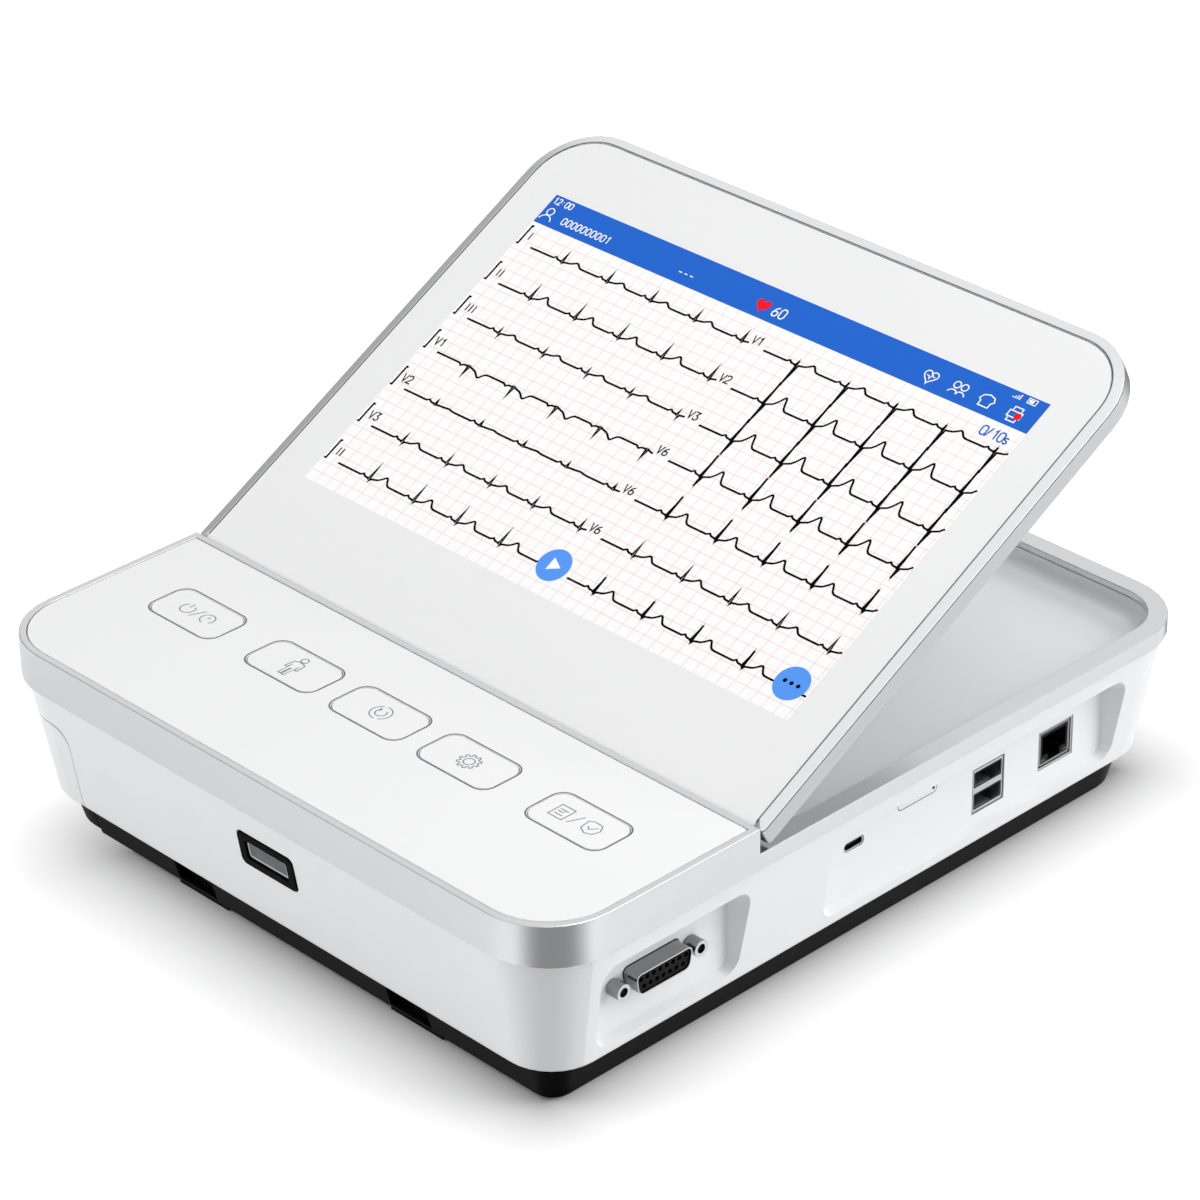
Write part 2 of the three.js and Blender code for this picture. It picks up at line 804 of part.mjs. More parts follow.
// The silver frame: a band round the machine, a ring round the deck and a rim round the tray.
function makeFrame() {
  const lower = ringBody([
    bodyRing(0, machine.corner, level.bandFoot),
    bodyRing(0, machine.corner, level.rim),
  ]);
  const upper = ringBody([
    bodyRing(0, machine.corner, level.bandFoot),
    bodyRing(0, machine.corner, level.deck),
  ]);
  const front = block(
    [-halfWidth, halfWidth],
    [-halfDepth, hingeLine],
    [level.bandFoot, level.deck + overrun],
  );
  const well = (inset, back, from, to) => ringBody([from, to].map((w) => ({
    points: roundedPoints({
      u: [-halfWidth + inset, halfWidth - inset],
      v: [-halfDepth + inset, hingeLine - back],
    }, machine.corner - inset, gap),
    w,
  })));
  const ledgeTop = level.deck - deck.thickness - gap;
  const trayHole = (inset, from, to) => ringBody([from, to].map((w) => ({
    points: roundedPoints({
      u: [-trayHoleX - inset, trayHoleX + inset],
      v: [trayHoleFront - inset, trayHoleBack + inset],
    }, frame.trayCorner + inset),
    w,
  })));
  return cutFrom(
    joinAll(lower, common(upper, front)),
    well(frame.shelf, frame.ring, level.bandFoot - overrun, ledgeTop - frame.ledgeDrop),
    well(frame.ring + frame.ledge, frame.ring + frame.ledge, level.bandFoot, ledgeTop),
    well(frame.ring, frame.ring, ledgeTop, level.deck + overrun),
    trayHole(0, level.bandFoot - overrun, level.deck),
    trayHole(tray.wall + gap, level.bandFoot - overrun, rimUnderside),
  );
}

// The white deck panel, with an opening for each key and bosses that hold the keypad board.
function makeDeck() {
  const inset = frame.ring + gap;
  const underside = level.deck - deck.thickness;
  const box = {
    u: [-halfWidth + inset, halfWidth - inset],
    v: [-halfDepth + inset, hingeLine - frame.ring - gap],
  };
  const smaller = (by) => ({ u: grown(box.u, -by), v: grown(box.v, -by) });
  const corner = machine.corner - inset;
  const plate = ringBody([
    { points: roundedPoints(box, corner, 2 * gap), w: underside },
    { points: roundedPoints(box, corner, 2 * gap), w: level.deck - deck.edge },
    { points: roundedPoints(smaller(deck.edge), corner - deck.edge, gap), w: level.deck },
  ]);
  const boardTop = keypadLevel.board + keypad.board;
  const bosses = bossPlaces().map(([x, y]) => (
    roundBar(x, y, [[deck.boss / 2, boardTop + gap, underside + gap]], 'z')
  ));
  const holes = keyPlaces.map((x) => (
    keyBlock(x, key.clearance, underside - overrun, level.deck + overrun)
  ));
  return cutFrom(joinAll(plate, ...bosses), ...holes);
}

const keyY = hingeLine - key.back;

const keypadLevel = (() => {
  const flangeFoot = level.deck - deck.thickness - gap - key.flangeHeight;
  const domeTop = flangeFoot - key.travel - gap / 3;
  const board = domeTop - keypad.domeHeight - keypad.sheet - keypad.board - gap;
  return { flangeFoot, domeTop, board };
})();

function bossPlaces() {
  const x = halfWidth - deck.bossInset;
  return [[-x, keyY], [x, keyY]];
}

function keyBlock(x, grow, from, to) {
  return block(
    span(x, key.width + 2 * grow),
    span(keyY, key.depth + 2 * grow),
    [from, to],
    key.corner + grow,
  );
}

// A key cap, flush with the deck, with a flange that keeps it under the panel.
function makeKey(x) {
  const flangeTop = keypadLevel.flangeFoot + key.flangeHeight;
  return joinAll(
    keyBlock(x, 0, keypadLevel.flangeFoot, level.deck),
    keyBlock(x, key.clearance + key.flange, keypadLevel.flangeFoot, flangeTop),
  );
}

// The rubber sheet under the keys, with one dome for each.
function makeKeypadMat() {
  const bottom = keypadLevel.board + keypad.board + gap;
  const top = bottom + keypad.sheet;
  const reach = halfWidth - deck.bossInset - deck.boss / 2 - gap;
  const sheet = block([-reach, reach], span(keyY, keypad.boardDepth - deck.boss), [bottom, top]);
  const domes = keyPlaces.map((x) => (
    roundBar(x, keyY, [[keypad.dome, bottom, top], [keypad.dome / 2, top, keypadLevel.domeTop]], 'z')
  ));
  return joinAll(sheet, ...domes);
}

function makeKeyBoard() {
  const half = halfWidth - keypad.boardInset;
  return block(
    [-half, half],
    span(keyY, keypad.boardDepth),
    [keypadLevel.board, keypadLevel.board + keypad.board],
  );
}

// The tray under the screen: a shallow bowl with rounded floor edges, hung under the rim.
function makeTray() {
  const top = rimUnderside - gap;
  const ring = (inset, height) => ({
    points: roundedPoints({
      u: [-trayHoleX + inset, trayHoleX - inset],
      v: [trayHoleFront + inset, trayHoleBack - inset],
    }, Math.max(frame.trayCorner - inset, tray.wall)),
    w: height,
  });
  const quarter = (radius, inset, floor) => Array.from({ length: filletSteps + 1 }, (_, i) => {
    const angle = i / filletSteps * Math.PI / 2;
    return ring(inset + radius * (1 - Math.cos(angle)), floor + radius * (1 - Math.sin(angle)));
  });
  const outer = quarter(tray.round + tray.wall, -tray.wall, tray.floor - tray.wall);
  const inner = quarter(tray.round, 0, tray.floor);
  const bowl = ringBody([
    ...outer.reverse(),
    ring(-tray.wall, top),
    ring(0, top),
    ...inner,
  ]);
  const bosses = mainBoardCorners().map(([x, y]) => (
    roundBar(x, y, [[tray.boss / 2, tray.floor - tray.wall - tray.bossDrop, tray.floor - gap]], 'z')
  ));
  return joinAll(bowl, ...bosses);
}

function mainBoardCorners() {
  const inset = tray.boss;
  const xs = [mainBoard.left + inset, mainBoard.right - inset];
  const ys = [mainBoard.front + inset, mainBoard.back - inset];
  return xs.flatMap((x) => ys.map((y) => [x, y]));
}

function makeMainBoard() {
  const top = tray.floor - tray.wall - tray.bossDrop - gap;
  const plate = block(
    [mainBoard.left, mainBoard.right],
    [mainBoard.front, mainBoard.back],
    [top - board.thickness, top],
  );
  const middle = (mainBoard.left + mainBoard.right) / 2;
  const chips = [-1, 0, 1].map((place) => (
    block(
      span(middle + place * mainBoard.chip * 2, mainBoard.chip),
      span((mainBoard.front + mainBoard.back) / 2, mainBoard.chip),
      [top - gap, top + mainBoard.chipHeight],
    )
  ));
  return joinAll(plate, ...chips);
}

// The pieces of the lid are drawn flat, with the hinge axis at their origin: Y is along the lid
// from the hinge, and Z is out of its face.
const lidGroup = new THREE.Group();
lidGroup.position.set(0, axisY, axisZ);
lidGroup.rotation.x = THREE.MathUtils.degToRad(machine.screenTilt);

const lidY = (along) => along - hinge.setBack;
const lidZ = (out) => out + hinge.depth;

function lidRing(inset, out, footInset = inset) {
  const box = {
    u: [-halfWidth + inset, halfWidth - inset],
    v: [lidY(footInset), lidY(lid.length - inset)],
  };
  const points = roundedPoints(box, Math.max(lid.footCorner - inset, gap), lid.corner - inset);
  return { points, w: lidZ(out) };
}

function hingeNotch(side, from, to) {
  const width = hinge.middle + 2 * (hinge.side + 3 * gap);
  return block(
    span(side * hinge.place, width),
    [lidY(-overrun), lidY(hingeFit.notch)],
    [lidZ(from), lidZ(to)],
  );
}

function makeLidBack() {
  const top = -lidFront.glass - lidFront.seam;
  const shell = ringBody([
    lidRing(lid.round, -lid.thickness),
    lidRing(0, -lid.thickness + lid.round),
    lidRing(0, top),
    lidRing(lid.wall, top),
    lidRing(lid.wall, -lid.thickness + lid.back),
  ]);
  const pads = [-1, 1].map((side) => roundBar(
    side * bumper.place,
    lidY(lid.length - bumper.fromTop),
    [[bumper.radius, lidZ(-lid.thickness - bumper.height), lidZ(-lid.thickness + lid.back / 2)]],
    'z',
  ));
  const notches = [-1, 1].map((side) => hingeNotch(side, -lid.thickness - overrun, 0));
  return cutFrom(joinAll(shell, ...pads), ...notches);
}

// The silver strip round three sides of the glass, sloping down to its outer edge.
function makeLidBezel() {
  const ring = ringBody([
    lidRing(0, -lidFront.glass),
    lidRing(0, -lidFront.slope),
    lidRing(lidFront.bezel - lidFront.land, 0),
    lidRing(lidFront.bezel, 0),
    lidRing(lidFront.bezel, -lidFront.glass),
  ], 'z', true);
  const inside = halfWidth - lidFront.bezel;
  const openFoot = block(
    [-inside, inside],
    [lidY(-overrun), lidY(lidFront.bezel + lid.footCorner)],
    [lidZ(-lidFront.glass - overrun), lidZ(overrun)],
  );
  return cutFrom(ring, openFoot);
}

function makeLidGlass() {
  const inset = lidFront.bezel + lidFront.fit;
  const ring = (more, out) => {
    const box = {
      u: [-halfWidth + inset + more, halfWidth - inset - more],
      v: [lidY(more), lidY(lid.length - inset - more)],
    };
    return { points: roundedPoints(box, gap, lid.corner - inset - more), w: lidZ(out) };
  };
  return ringBody([ring(0, -lidFront.glass), ring(0, -lidFront.fit), ring(lidFront.fit, 0)]);
}

function makeDisplay() {
  const top = -lidFront.glass - gap;
  return block(
    span(0, panel.width),
    [lidY(panel.fromHinge), lidY(lid.length - panel.fromTop)],
    [lidZ(top - panel.thickness), lidZ(top)],
  );
}

// The half of a screen hinge that is fixed in the lid: a leaf and two knuckles.
function makeLidLeaf(side) {
  const x = side * hinge.place;
  const middle = hinge.middle / 2 + gap;
  const top = -lidFront.glass - gap;
  const pieces = [];
  for (const end of [-1, 1]) {
    const limits = [x + end * middle, x + end * (middle + hinge.side)].sort((a, b) => a - b);
    const knuckle = roundBar(0, 0, [[hinge.knuckle, ...limits]], 'x');
    const arm = block(limits, [0, lidY(hingeFit.leafEnd)], [lidZ(top - hingeFit.leaf), lidZ(top)]);
    pieces.push(knuckle, arm);
  }
  const plate = block(
    span(x, hinge.middle + 2 * (hinge.side + gap)),
    [lidY(hingeFit.notch), lidY(hingeFit.leafEnd)],
    [lidZ(top - hingeFit.leaf), lidZ(top)],
  );
  const bore = roundBar(0, 0, [[hinge.bore, x - hingeFit.leafEnd, x + hingeFit.leafEnd]], 'x');
  return cutFrom(joinAll(...pieces, plate), bore);
}

function makeHingePin(side) {
  const x = side * hinge.place;
  const half = hinge.middle / 2 + gap + hinge.side;
  return roundBar(0, 0, [[hinge.pin, x - half, x + half]], 'x', roundSides / 2);
}

// The fixed half of a screen hinge: a foot on the tray's front rim and one knuckle on a web.
function makeBaseLeaf(side) {
  const x = side * hinge.place;
  const width = span(x, hinge.middle);
  const footBottom = level.rim + gap;
  const foot = block(
    span(x, hinge.middle + 2 * hinge.side),
    [hingeLine + gap, hingeLine + gap + hingeFit.footDepth],
    [footBottom, footBottom + hingeFit.foot],
  );
  const web = block(width, span(axisY, hingeFit.web), [footBottom, axisZ]);
  const knuckle = roundBar(axisY, axisZ, [[hinge.knuckle, ...width]], 'x');
  const bore = roundBar(axisY, axisZ, [[hinge.bore, x - hinge.middle, x + hinge.middle]], 'x');
  return cutFrom(joinAll(foot, web, knuckle), bore);
}

// The paper drawer: an open box on two runners, with ears that carry the platen roller.
function makePaperTray() {
  const front = -halfWidth + housing.footInset + housing.wall + housing.footLip + gap;
  const bottom = level.panTop + overrun;
  const box = (inset) => ({
    u: [front + inset, drawer.reach - inset],
    v: grown(span(0, 2 * drawer.half), -inset),
  });
  const ring = (inset, w) => ({ points: roundedPoints(box(inset), drawer.wall + gap - inset), w });
  const shell = ringBody([
    ring(0, bottom),
    ring(0, bottom + drawer.height),
    ring(drawer.wall, bottom + drawer.height),
    ring(drawer.wall, bottom + drawer.wall),
  ]);
  const pieces = [shell];
  const bores = [];
  for (const side of [-1, 1]) {
    const limits = (from, to) => [side * from, side * to].sort((a, b) => a - b);
    pieces.push(block(
      span(platen.x, 2 * ear.reach),
      limits(drawer.half - drawer.wall, drawer.half),
      [bottom + drawer.height - overrun, platen.height + ear.rise],
    ));
    pieces.push(block(
      [runner.front, drawer.reach - runner.short],
      limits(drawer.half - drawer.wall / 2, drawer.half + runner.depth),
      [runner.level, runner.level + runner.height],
    ));
    bores.push(roundBar(
      platen.x,
      platen.height,
      [[platen.bore, ...limits(drawer.half - 2 * drawer.wall, drawer.half + drawer.wall)]],
      'y',
    ));
  }
  return cutFrom(joinAll(...pieces), ...bores);
}

function makeDrawerFront() {
  return common(housingWall(), drawerRegion(0));
}

function makeRail(side) {
  const inner = drawer.half + gap;
  const length = [rail.front, drawer.reach - rail.short];
  const limits = (from, to) => [side * from, side * to].sort((a, b) => a - b);
  return joinAll(
    block(length, limits(inner, inner + rail.thickness), [panFloor + gap, runner.level - gap]),
    block(
      length,
      limits(inner + runner.depth + gap, inner + rail.thickness),
      [runner.level - rail.web, runner.level + runner.height / 2],
    ),
  );
}

function makePaper() {
  const bottom = level.panTop + overrun + drawer.wall + gap;
  return block(
    [paper.front, drawer.reach - paper.endFit],
    span(0, 2 * (drawer.half - paper.sideFit)),
    [bottom, bottom + paper.height - overrun],
  );
}

function makePlatenRoller() {
  const half = platen.length / 2;
  const end = gear.start - gap;
  return roundBar(platen.x, platen.height, [
    [platen.shaft, -drawer.half - drawer.wall, -half],
    [platen.radius, -half, half],
    [platen.shaft, half, end],
  ], 'y');
}

// A toothed wheel about a point in the XZ plane, with one tooth or one gap facing an angle.
function gearWheel(centre, teeth, facing, limits) {
  const pitch = 2 * Math.PI / teeth;
  const radius = gear.module * teeth / 2;
  const tip = radius + gear.tip;
  const root = radius - gear.root;
  const corners = [
    [-gearShares.rootHalfShare, root],
    [-gearShares.tipHalfShare, tip],
    [gearShares.tipHalfShare, tip],
    [gearShares.rootHalfShare, root],
  ];
  const points = [];
  for (let tooth = 0; tooth < teeth; tooth += 1) {
    for (const [share, reach] of corners) {
      const angle = facing + (tooth + share) * pitch;
      points.push([centre.x + reach * Math.cos(angle), centre.z + reach * Math.sin(angle)]);
    }
  }
  return ringBody([{ points, w: limits[0] }, { points, w: limits[1] }], 'y');
}

const meshAngle = THREE.MathUtils.degToRad(meshTurn.direction);

// The platen's gear has a gap facing the pinion, and the pinion has a tooth facing the platen.
function makePlatenGear() {
  const half = Math.PI / gear.platenTeeth;
  const centre = { x: platen.x, z: platen.height };
  return gearWheel(centre, gear.platenTeeth, meshAngle + half, [gear.start, gear.start + gear.face]);
}

function makePinion() {
  const end = gear.start + gear.face;
  const wheel = gearWheel(motorPlace, gear.pinionTeeth, meshAngle + Math.PI, [gear.start, end]);
  const shaft = roundBar(motorPlace.x, motorPlace.z, [[motor.shaft, end - gap, end + overrun - gap]], 'y');
  return joinAll(wheel, shaft);
}

function makeMotor() {
  const face = gear.start + gear.face + overrun;
  return roundBar(motorPlace.x, motorPlace.z, [[motor.radius, face, face + motor.length]], 'y');
}

// The thermal print head lies across the platen, under a steel bracket below the tray.
function makePrintHead() {
  const bottom = platen.height + platen.radius + gap;
  return block(
    [platen.x - printHead.lead, platen.x - printHead.lead + printHead.width],
    span(0, platen.length),
    [bottom, bottom + printHead.thickness],
  );
}

// A channel under the tray, open at the paper slot.
function makeHeadBracket() {
  const thickness = printHead.bracketThickness;
  const bottom = platen.height + platen.radius + 2 * gap + printHead.thickness;
  const top = tray.floor - tray.wall - gap;
  const left = platen.x - printHead.lead;
  const right = left + printHead.bracketWidth;
  const points = [
    [left, bottom],
    [right, bottom],
    [right, top],
    [left, top],
    [left, top - thickness],
    [right - thickness, top - thickness],
    [right - thickness, bottom + thickness],
    [left, bottom + thickness],
  ];
  const half = platen.length / 2;
  return ringBody([{ points, w: -half }, { points, w: half }], 'y');
}

// The socket board stands behind the right wall and carries every socket there.
function makeIoBoard() {
  return block(
    [ioBoard.x, ioBoard.x + board.thickness],
    [ioBoard.front, ioBoard.back],
    [ioBoard.bottom, ioBoard.top],
  );
}

function makeDsubShell() {
  const front = recessInside - gap;
  const back = front - dsubBack.flange;
  const flange = block(
    [back, front],
    span(dsub.y, dsub.flangeWidth),
    span(dsub.z, dsubBack.flangeHeight),
    dsubBack.flange,
    'x',
  );
  const tube = dBody(dsub.width, dsub.height, dsub.corner, back, recessX + dsub.reach);
  const inner = dBody(
    dsub.width - 2 * dsub.wall,
    dsub.height - 2 * dsub.wall,
    dsub.corner - dsub.wall,
    back - overrun,
    recessX + dsub.reach + overrun,
  );
  const holes = jackPlaces().map((y) => (
    roundBar(y, dsub.z, [[jackScrew.hole, back - overrun, front + overrun]], 'x')
  ));
  return cutFrom(joinAll(flange, tube), inner, ...holes);
}

// The black core of the patient socket, with a row of eight holes over a row of seven.
function makeDsubCore() {
  const face = recessX + dsub.reach - 2 * gap;
  const inset = dsub.wall + gap / 2;
  const core = dBody(
    dsub.width - 2 * inset,
    dsub.height - 2 * inset,
    dsub.corner - inset,
    boardFace,
    face,
  );
  const holes = [];
  for (const [count, side] of [[8, 1], [7, -1]]) {
    for (let i = 0; i < count; i += 1) {
      const y = dsub.y + (i - (count - 1) / 2) * dsubBack.holePitch;
      const z = dsub.z + side * dsubBack.rowPitch / 2;
      const steps = [[dsubBack.hole, face - dsubBack.holeDepth, face + overrun]];
      holes.push(roundBar(y, z, steps, 'x', contactSides));
    }
  }
  return cutFrom(core, ...holes);
}

function makeJackScrew(y) {
  const seat = recessX + gap;
  const front = seat + jackScrew.length;
  const body = joinAll(
    roundBar(y, dsub.z, [[jackScrew.radius, seat, front]], 'x'),
    roundBar(y, dsub.z, [[jackScrew.shank, recessInside - housing.wall, seat + gap]], 'x'),
  );
  const steps = [[jackScrew.bore, front - jackScrew.boreDepth, front + overrun]];
  const bore = roundBar(y, dsub.z, steps, 'x', boreSides);
  return cutFrom(body, bore);
}

function makeUsbC() {
  const front = recessX - gap;
  const body = stadium(usbC.y, usbC.z, usbC.width, usbC.height, boardFace, front);
  const cavity = stadium(
    usbC.y,
    usbC.z,
    usbC.width - 2 * usbC.wall,
    usbC.height - 2 * usbC.wall,
    front - usbC.depth,
    front + overrun,
  );
  const tongue = block(
    [front - usbC.depth - overrun, front - overrun],
    span(usbC.y, usbC.tongueWidth),
    span(usbC.z, usbC.tongue),
  );
  return joinAll(cutFrom(body, cavity), tongue);
}

// The card tray: an oval cover in the wall and a blade that slides into the reader.
function makeCardTray() {
  const front = recessX;
  const cover = stadium(card.y, card.z, card.width, card.height, front - card.cap, front);
  const blade = block(
    [front - card.cap - card.bladeLength, front - card.cap + gap],
    span(card.y, card.bladeWidth),
    span(card.z, card.blade),
  );
  return joinAll(cover, blade);
}

function makeCardReader() {
  const back = boardFace;
  const front = recessInside - gap;
  const body = block([back, front], span(card.y, cardReader.width), span(card.z, cardReader.height));
  const slot = block(
    [recessX - card.cap - card.bladeLength - gap, front + overrun],
    span(card.y, card.bladeWidth + 2 * gap),
    span(card.z, card.blade + 2 * gap),
  );
  return cutFrom(body, slot);
}

function usbPorts(grow, from, to) {
  return [-1, 1].map((side) => block(
    [from, to],
    span(usbA.y, usbA.portWidth + 2 * grow),
    span(usbA.z + side * usbA.portRise, usbA.portHeight + 2 * grow),
  ));
}

function makeUsbShell() {
  const front = recessX - gap;
  const back = front - usbA.depth;
  const body = block([back, front], span(usbA.y, usbA.width), span(usbA.z, usbA.height), gap, 'x');
  return cutFrom(body, ...usbPorts(0, back - overrun, front + overrun));
}

// The plastic core behind the metal shell, with a tongue for each of its two ports.
function makeUsbCore() {
  const face = recessX - 2 * gap - usbA.depth;
  const body = block([boardFace, face], span(usbA.y, usbA.width), span(usbA.z, usbA.height));
  const tongues = [-1, 1].map((side) => block(
    [face - gap, face + usbTongue.length],
    span(usbA.y, usbTongue.width),
    span(usbA.z + side * usbA.portRise + usbTongue.thickness / 2, usbTongue.thickness),
  ));
  return joinAll(body, ...tongues);
}

// The network socket: a metal sleeve round a black body with a stepped port.
function makeNetworkShell() {
  const front = recessX - gap;
  const body = block(
    [boardFace, front],
    span(network.y, network.width),
    span(network.z, network.height),
    gap,
    'x',
  );
  const inner = block(
    [boardFace - overrun, front + overrun],
    span(network.y, network.width - 2 * networkBody.wall),
    span(network.z, network.height - 2 * networkBody.wall),
  );
  return cutFrom(body, inner);
}

function makeNetworkCore() {
  const front = recessX - 2 * gap;
  const inset = networkBody.wall + gap;
  const z = network.z + networkBody.portRise;
  const body = block(
    [boardFace + gap, front],
    span(network.y, network.width - 2 * inset),
    span(network.z, network.height - 2 * inset),
  );
  const port = block(
    [front - networkBody.depth, front + overrun],
    span(network.y, network.portWidth),
    span(z, network.portHeight),
  );
  const keyway = block(
    [front - networkBody.depth, front + overrun],
    span(network.y, network.keyWidth),
    [z - network.portHeight / 2 - network.keyDrop, z],
  );
  return cutFrom(body, port, keyway);
}

function makeSpeaker() {
  const bottom = panFloor + gap;
  return roundBar(speaker.x, speaker.y, [
    [speaker.radius, bottom, bottom + speaker.height - speaker.magnetHeight],
    [speaker.magnet, bottom + speaker.height - speaker.magnetHeight, bottom + speaker.height],
  ], 'z');
}

function makeBatteryPack() {
  const bottom = level.footPad + battery.doorThickness + gap;
  return block(batterySpan.x, batterySpan.y, [bottom, bottom + battery.height], battery.lip);
}

function makeBatteryDoor() {
  const lip = level.footPad + battery.lip - gap;
  return joinAll(
    block(
      grown(batterySpan.x, battery.doorMargin),
      grown(batterySpan.y, battery.doorMargin),
      [level.footPad, lip],
    ),
    block(batterySpan.x, batterySpan.y, [level.footPad, level.footPad + battery.doorThickness]),
  );
}

function makePowerBoard() {
  const bottom = panFloor + powerBoard.height;
  const top = bottom + board.thickness;
  return joinAll(
    block(span(powerBoard.x, powerBoard.width), span(powerBoard.y, powerBoard.depth), [bottom, top]),
    block(
      span(powerBoard.x, 2 * powerBoard.transformer),
      span(powerBoard.y, powerBoard.transformer),
      [top - gap, top + powerBoard.transformerHeight],
    ),
  );
}

function inletBlock(grow, depth) {
  return block(
    span(0, inlet.width + 2 * grow),
    depth,
    span(0, inlet.height + 2 * grow),
    inlet.corner + grow,
    'y',
  );
}

// The mains inlet in the rear wall: a flanged well with three pins.
function makeInlet() {
  const face = inlet.flange + gap;
  const back = face - inlet.depth;
  const flange = inletBlock(inlet.margin, [gap, face]);
  const body = inletBlock(0, [back, face]);
  const well = inletBlock(-inletWell.wall, [back + inletWell.back, face + overrun]);
  const pins = [-1, 0, 1].map((place) => {
    const height = place === 0 ? inletWell.pinDrop : -inletWell.pinDrop / 2;
    return block(
      span(place * inletWell.pinSpread, 2 * inlet.pin),
      [back + overrun, back + inletWell.back + inletWell.pinLength],
      span(height, inletWell.pinHeight),
    );
  });
  return onWall(1, inlet, joinAll(cutFrom(joinAll(flange, body), well), ...pins));
}

function makeEarthPost() {
  const collar = gap + earthPost.collarHeight;
  return onWall(1, earthPost, roundBar(0, 0, [
    [earthPost.radius, -earthPost.length, gap],
    [earthPost.collar, gap, collar],
    [earthPost.radius, collar, collar + earthPost.tip],
  ], 'y'));
}

function makeFoot([x, y]) {
  const top = level.footPad + foot.seat - gap;
  return roundBar(x, y, [[foot.radius, 0, top]], 'z');
}

addPart(ecgMachine, 'base_pan', makePan(), finish.black);
addPart(ecgMachine, 'lower_housing', makeHousing(), finish.white);
addPart(ecgMachine, 'upper_frame', makeFrame(), finish.silver);
addPart(ecgMachine, 'tray_basin', makeTray(), finish.silver);
addPart(ecgMachine, 'deck_panel', makeDeck(), finish.white);
for (const [i, name] of keyNames.entries()) {
  addPart(ecgMachine, `key_${name}`, makeKey(keyPlaces[i]), finish.white);
}
addPart(ecgMachine, 'keypad_mat', makeKeypadMat(), finish.rubber);
addPart(ecgMachine, 'key_board', makeKeyBoard(), finish.board);
addPart(ecgMachine, 'scanner_bezel', makeScannerBezel(), finish.black);
addPart(ecgMachine, 'scanner_window', makeScannerWindow(), finish.panel);
addPart(ecgMachine, 'scanner_module', makeScannerModule(), finish.black);
addPart(ecgMachine, 'speaker', makeSpeaker(), finish.black);
addPart(ecgMachine, 'main_board', makeMainBoard(), finish.board);
addPart(ecgMachine, 'power_board', makePowerBoard(), finish.board);
addPart(ecgMachine, 'battery_pack', makeBatteryPack(), finish.cell);
addPart(ecgMachine, 'battery_door', makeBatteryDoor(), finish.black);
addPart(ecgMachine, 'power_inlet', makeInlet(), finish.black);
addPart(ecgMachine, 'earth_post', makeEarthPost(), finish.steel);
for (const [i, place] of footPlaces().entries()) {
  addPart(ecgMachine, `rubber_foot_${i + 1}`, makeFoot(place), finish.rubber);
}

addPart(ecgMachine, 'io_board', makeIoBoard(), finish.board);
addPart(ecgMachine, 'patient_socket_shell', makeDsubShell(), finish.steel);
addPart(ecgMachine, 'patient_socket_core', makeDsubCore(), finish.black);
addPart(ecgMachine, 'jack_screw_front', makeJackScrew(jackPlaces()[0]), finish.steel);
addPart(ecgMachine, 'jack_screw_rear', makeJackScrew(jackPlaces()[1]), finish.steel);
addPart(ecgMachine, 'usb_c_socket', makeUsbC(), finish.steel);
addPart(ecgMachine, 'card_tray', makeCardTray(), finish.white);
addPart(ecgMachine, 'card_reader', makeCardReader(), finish.black);
addPart(ecgMachine, 'usb_a_shell', makeUsbShell(), finish.steel);
addPart(ecgMachine, 'usb_a_core', makeUsbCore(), finish.black);
addPart(ecgMachine, 'network_socket_shell', makeNetworkShell(), finish.steel);
addPart(ecgMachine, 'network_socket_core', makeNetworkCore(), finish.black);

addPart(ecgMachine, 'paper_tray', makePaperTray(), finish.nylon);
addPart(ecgMachine, 'drawer_front', makeDrawerFront(), finish.white);
addPart(ecgMachine, 'drawer_foot_strip', makeFootStrip(), finish.black);
addPart(ecgMachine, 'paper_pack', makePaper(), finish.paper);
addPart(ecgMachine, 'platen_roller', makePlatenRoller(), finish.rubber);
addPart(ecgMachine, 'platen_gear', makePlatenGear(), finish.nylon);
addPart(ecgMachine, 'motor_pinion', makePinion(), finish.nylon);
addPart(ecgMachine, 'feed_motor', makeMotor(), finish.steel);
addPart(ecgMachine, 'print_head', makePrintHead(), finish.panel);
addPart(ecgMachine, 'print_head_bracket', makeHeadBracket(), finish.steel);
addPart(ecgMachine, 'drawer_rail_front', makeRail(-1), finish.nylon);
addPart(ecgMachine, 'drawer_rail_rear', makeRail(1), finish.nylon);

addPart(ecgMachine, 'base_hinge_leaf_left', makeBaseLeaf(-1), finish.steel);
addPart(ecgMachine, 'base_hinge_leaf_right', makeBaseLeaf(1), finish.steel);
addPart(lidGroup, 'lid_hinge_leaf_left', makeLidLeaf(-1), finish.steel);
addPart(lidGroup, 'lid_hinge_leaf_right', makeLidLeaf(1), finish.steel);
addPart(lidGroup, 'hinge_pin_left', makeHingePin(-1), finish.steel);
addPart(lidGroup, 'hinge_pin_right', makeHingePin(1), finish.steel);
addPart(lidGroup, 'screen_back_shell', makeLidBack(), finish.brushed);
addPart(lidGroup, 'screen_bezel', makeLidBezel(), finish.brushed);
addPart(lidGroup, 'screen_glass', makeLidGlass(), finish.glass);
addPart(lidGroup, 'display_panel', makeDisplay(), finish.panel);
ecgMachine.add(lidGroup);

export default ecgMachine;
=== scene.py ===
"""Dresses the portable ECG machine: fine edges, finishes, the lit display, key icons and port details."""
import json
import math

import bmesh
import bpy
from mathutils import Matrix, Vector

